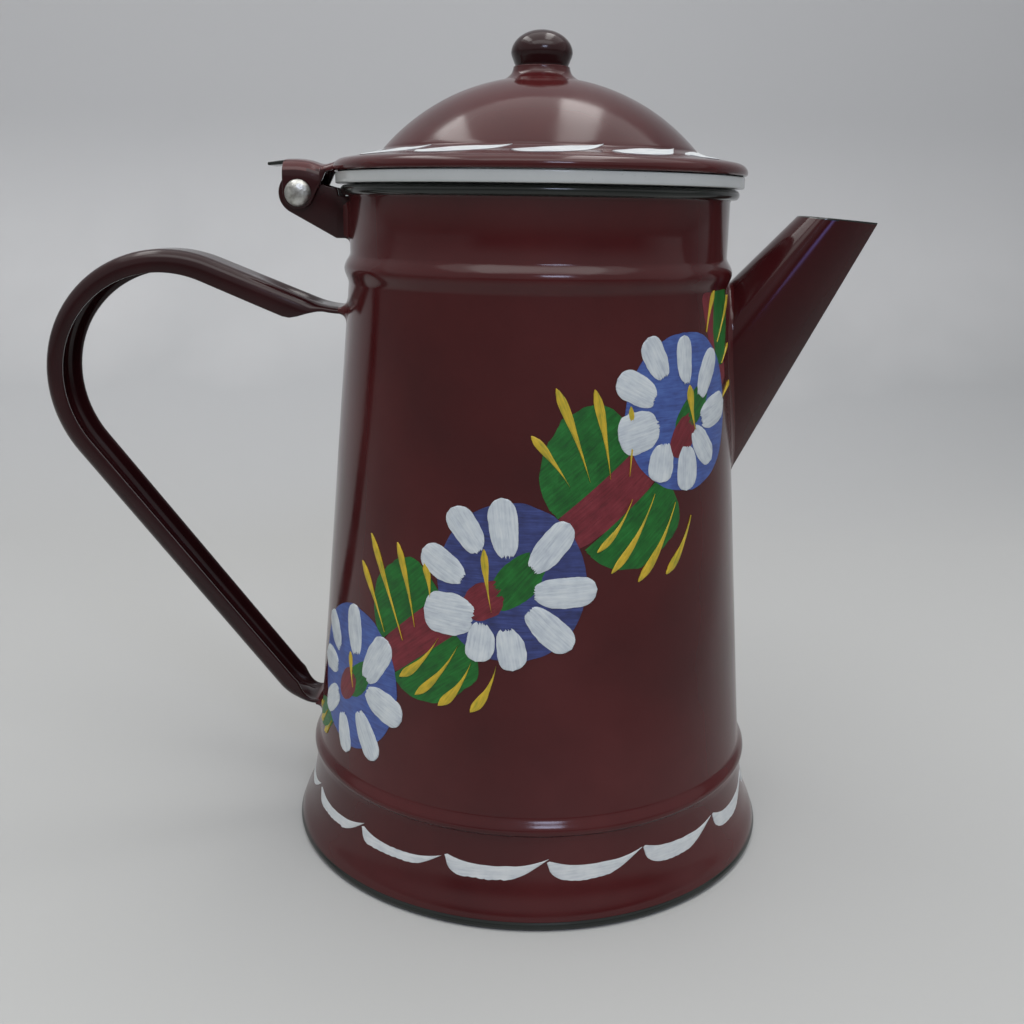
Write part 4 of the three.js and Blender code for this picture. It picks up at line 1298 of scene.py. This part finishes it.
def garland():
    """Rows of strokes for each layer of the garland that rises from the handle to the spout."""
    chance = random.Random(GARLAND_SEED)
    layers = {name: [] for name in ("ribbons", "leaves", "grounds", "embers", "hearts", "petals", "veins")}

    def lay(layer, thing, row, bow=0.0, side=0.0):
        layers[layer].append(stroke(thing["middle"], row, bow, side, chance.random()))

    for daisy in DAISIES:
        lay("grounds", daisy, daisy["ground"])
        for row in daisy["petals"]:
            lay("petals", daisy, row, chance.uniform(-0.5, 0.5))
        lay("hearts", daisy, daisy["heart"])
        lay("embers", daisy, daisy["ember"])
        lay("veins", daisy, daisy["vein"], 0.3)
    for pair in LEAF_PAIRS:
        lay("ribbons", pair, pair["ribbon"], 0.4)
        lay("leaves", pair, pair["upper"], side=1.0)
        lay("leaves", pair, pair["lower"], side=-1.0)
        for rows, bow in ((pair["upper veins"], -0.5), (pair["lower veins"], 1.1)):
            for row in rows:
                lay("veins", pair, row, bow)
    lay("ribbons", HIGH_END, HIGH_END["ribbon"])
    for end in (HIGH_END, LOW_END):
        lay("leaves", end, end["leaf"])
        for row in end["veins"]:
            lay("veins", end, row, 0.5)
    return layers


layers = garland()
layers["middle_ground"] = layers["grounds"][1:2]
layers["grounds"] = layers["grounds"][::2]
paint_pieces = [
    stroke_piece(
        f"painted_{layer}",
        shape,
        "cone",
        cells,
        {"Paint": paint, "Layer": level, "Film height": film, "Ragged end": ragged, "Edge waver": waver},
        both_sides(layers[layer]),
    )
    for layer, shape, cells, paint, level, film, ragged, waver in (
        ("ribbons", "ribbon", (41, 17), red_paint, 0.02, 0.03, 1.6, 0.08),
        ("leaves", "leaf", (41, 21), green_paint, 0.06, 0.04, 0.5, 0.1),
        ("grounds", "round", (61, 41), blue_paint, 0.11, 0.03, 0.1, 0.04),
        ("middle_ground", "round", (61, 41), navy_paint, 0.11, 0.03, 0.1, 0.04),
        ("embers", "dab", (25, 25), red_paint, 0.19, 0.04, 1.6, 0.08),
        ("hearts", "dab", (31, 41), green_paint, 0.15, 0.04, 2.4, 0.08),
        ("petals", "petal", (29, 23), white_paint, 0.22, 0.16, 0.75, 0.08),
        ("veins", "vein", (27, 7), yellow_paint, 0.2, 0.14, 0.0, 0.08),
    )
]
BORDER = {"Paint": border_paint, "Film height": 0.12, "Ragged end": 0.1}
FOOT_BORDER = {
    "Count": 15, "First angle": math.radians(-133.3), "Place": 12.2, "Rise": 1.3, "Bearing": math.radians(1.6),
    "Long": 27.4, "Wide": 5.5, "Bow": -4.4, "Layer": 0.05, "Seed": 5,
}
LID_BORDER = {
    "Count": 12, "First angle": math.radians(-128.5), "Place": 4.4, "Bearing": math.radians(12.5),
    "Long": 26.0, "Wide": 7.2, "Bow": -1.6, "Layer": 0.08, "Seed": 11,
}
foot_border, lid_border = (
    stroke_piece(f"painted_{name}_border", "comma", wall, (41, 9), {**BORDER, **values})
    for name, wall, values in (("foot", "foot", FOOT_BORDER), ("lid", "brim", LID_BORDER))
)


# ---- What each piece rides on and stands for ----

for name, finish in (("bottom_plate", maroon), ("knob_rivet", steel)):
    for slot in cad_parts[name].material_slots:
        slot.material = finish

riding = {
    "pot": (
        (body, "body_shell", "body_enamel"),
        (foot, "foot_skirt", "body_enamel"),
        (spout_piece, "spout_shell", "body_enamel"),
        (spout_weld_piece, None, "body_enamel"),
        (strap, "handle_strap", "body_enamel"),
        (upper_weld, None, "body_enamel"),
        (lower_weld, None, "body_enamel"),
        (bracket_piece, "hinge_bracket", "body_enamel"),
        (bracket_weld, None, "body_enamel"),
        (rivet_piece, "hinge_rivet", "rivet_steel"),
        *((piece, None, None) for piece in (*paint_pieces, foot_border)),
    ),
    "lid": (
        (lid_shell, "lid_shell", "body_enamel"),
        (collar, "lid_collar", "white_enamel"),
        (leaf_piece, "lid_hinge_leaf", "body_enamel"),
        (knob, "lid_knob", "body_enamel"),
        (lid_border, None, None),
    ),
}
for carrier, rows in riding.items():
    for piece, node, slot_name in rows:
        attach(piece, carrier)
        if node:
            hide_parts(node)


# ---- Floor, light and camera ----


def sweep():
    """A pale floor that turns up into a low backdrop, with painted shade."""
    bend = [(FLOOR_BACK + FLOOR_BEND * math.sin(a), FLOOR_BEND - FLOOR_BEND * math.cos(a)) for a in quarter(24)]
    line = [(-FLOOR_END, 0.0), (FLOOR_BACK, 0.0), *bend[1:], (FLOOR_BACK + FLOOR_BEND, WALL_TOP)]
    points = [(x, y, z) for y, z in line for x in (-FLOOR_END, FLOOR_END)]
    faces = [(2 * at, 2 * at + 1, 2 * at + 3, 2 * at + 2) for at in range(len(line) - 1)]
    mesh = new_mesh("floor_sweep", points, faces)
    mesh.shade_smooth()
    finish, tree, look = new_finish("pale_paper")
    place = coordinates(tree)
    x, y, z = split(tree, place)
    grain = noise(tree, place, 9.0) - 0.5
    colours = (
        (0.0, (0.447, 0.45, 0.433)),
        (0.8, (0.437, 0.441, 0.437)),
        (0.93, (0.423, 0.43, 0.437)),
        (0.99, (0.565, 0.568, 0.573)),
    )
    plain = ramp(tree, (y + 0.7) / 1.25 + grain * 0.06, colours)
    # Painted shade: the floor darkens away from the pot and towards the front, and the backdrop darkens to the
    # right, most near its foot.
    far_back = ((y - 0.3) * 5.0).at_least(0.0).at_most(1.0)
    aside = (x.at_least(x * -0.6) * 1.25 - y.at_least(0.0) * 0.5).at_least(0.0)
    before = y.at_most(0.0)
    away = (aside * aside + before * before).power(0.5) + grain * 0.04
    fade = ramp(tree, away / 1.6, ((0.17, 1.0), (0.27, 0.72), (0.42, 0.6), (0.7, 0.55), (1.0, 0.62)))
    rightward = (x.at_least(0.0) * far_back).at_most(0.45)
    low = (z * -4.0 + 1.0).at_least(0.0)
    edge = fade * (far_back * -1.0 + 1.0) + far_back
    shade = (rightward * (low * 0.45 + 0.42) * -1.0 + 1.0) * edge
    put(tree, look["Base Color"], scaled(tree, plain, combined(tree, shade, shade, shade)))
    look["Roughness"].default_value = 0.6
    mesh.materials.append(finish)
    linked("floor_sweep", mesh)


sweep()


def soft_light(name, place, target, size, power, colour, spread):
    lamp = bpy.data.lights.new(name, "AREA")
    lamp.spread = math.radians(spread)
    lamp.shape, lamp.size, lamp.size_y = "RECTANGLE", size[0], size[1]
    lamp.energy, lamp.color = power, colour
    holder = linked(name, lamp)
    holder.location = place
    holder.rotation_euler = (Vector(target) - Vector(place)).to_track_quat("-Z", "Y").to_euler()


for lamp_row in (
    ("ceiling_light", (0.0, 0.1, 1.75), (0, 0.1, 0), (3.0, 2.6), 19.0, (1.0, 0.995, 0.98), 180.0),
    ("long_lamp_left", (-0.85, 0.5, 1.6), (-0.85, 0.5, 0), (0.35, 1.6), 5.9, (1.0, 0.985, 0.96), 180.0),
    ("long_lamp_right", (0.34, 0.5, 1.6), (0.34, 0.5, 0), (0.35, 1.6), 5.9, (1.0, 0.985, 0.96), 180.0),
    ("front_ceiling_light", (0.0, -0.75, 1.35), (0, -0.75, 0), (1.5, 0.7), 5.4, (1.0, 0.99, 0.97), 180.0),
    ("window_light", (0.25, -1.3, 1.0), (0, 0, 0.12), (0.35, 0.25), 3.6, (0.66, 0.74, 1.0), 180.0),
    (
        "spout_glint", (0.235, -0.2055, 0.1615), (0.081, -0.0085, 0.172), (0.06, 0.045), 0.00036, (0.34, 0.34, 1.0),
        14.0,
    ),
):
    soft_light(*lamp_row)


def soft_room():
    """The room round the pot: pale behind, above and at the sides, dim across the front."""
    room = bpy.data.worlds.new("soft_room")
    bpy.context.scene.world = room
    room.use_nodes = True
    tree = room.node_tree
    x, y, z = split(tree, coordinates(tree, "Generated"))
    turn = x.maths("ARCTAN2", y * -1.0)
    pale, dim, bright = (0.33, 0.332, 0.336), (0.13, 0.13, 0.132), (0.44, 0.445, 0.45)
    stops = ((0.0, pale), (0.38, pale), (0.41, dim), (0.665, dim), (0.72, bright), (1.0, pale))
    band = ramp(tree, turn / math.tau + 0.5, stops)
    rise = ramp(tree, z, ((0.09, 0.0), (0.24, 1.0)))
    put(tree, tree.nodes["Background"].inputs["Color"], mixed(tree, rise, band, (0.5, 0.505, 0.51)))


soft_room()

bpy.context.scene.view_settings.view_transform = "Standard"

FOCAL_PIXELS, PICTURE_PIXELS, SENSOR = 1150, 1024, 36
CAMERA_PLACE, PITCH, YAW, ROLL = (0, -0.3343, 0.1833), 14.802, -1.073, 0.867

lens = bpy.data.cameras.new("photo_camera")
lens.lens, lens.sensor_width = SENSOR * FOCAL_PIXELS / PICTURE_PIXELS, SENSOR
lens.clip_start, lens.clip_end = 0.01, 20
camera = linked("photo_camera", lens)
pitch, yaw, roll = math.radians(PITCH), math.radians(YAW), math.radians(ROLL)
forward = Vector((math.sin(yaw) * math.cos(pitch), math.cos(yaw) * math.cos(pitch), -math.sin(pitch)))
right = Vector((math.cos(yaw), -math.sin(yaw), 0))
up = right.cross(forward)
across_view = right * math.cos(roll) + up * math.sin(roll)
up_view = up * math.cos(roll) - right * math.sin(roll)
turned_view = Matrix((across_view, up_view, -forward)).transposed().to_4x4()
camera.matrix_world = Matrix.Translation(CAMERA_PLACE) @ turned_view
bpy.context.scene.camera = camera
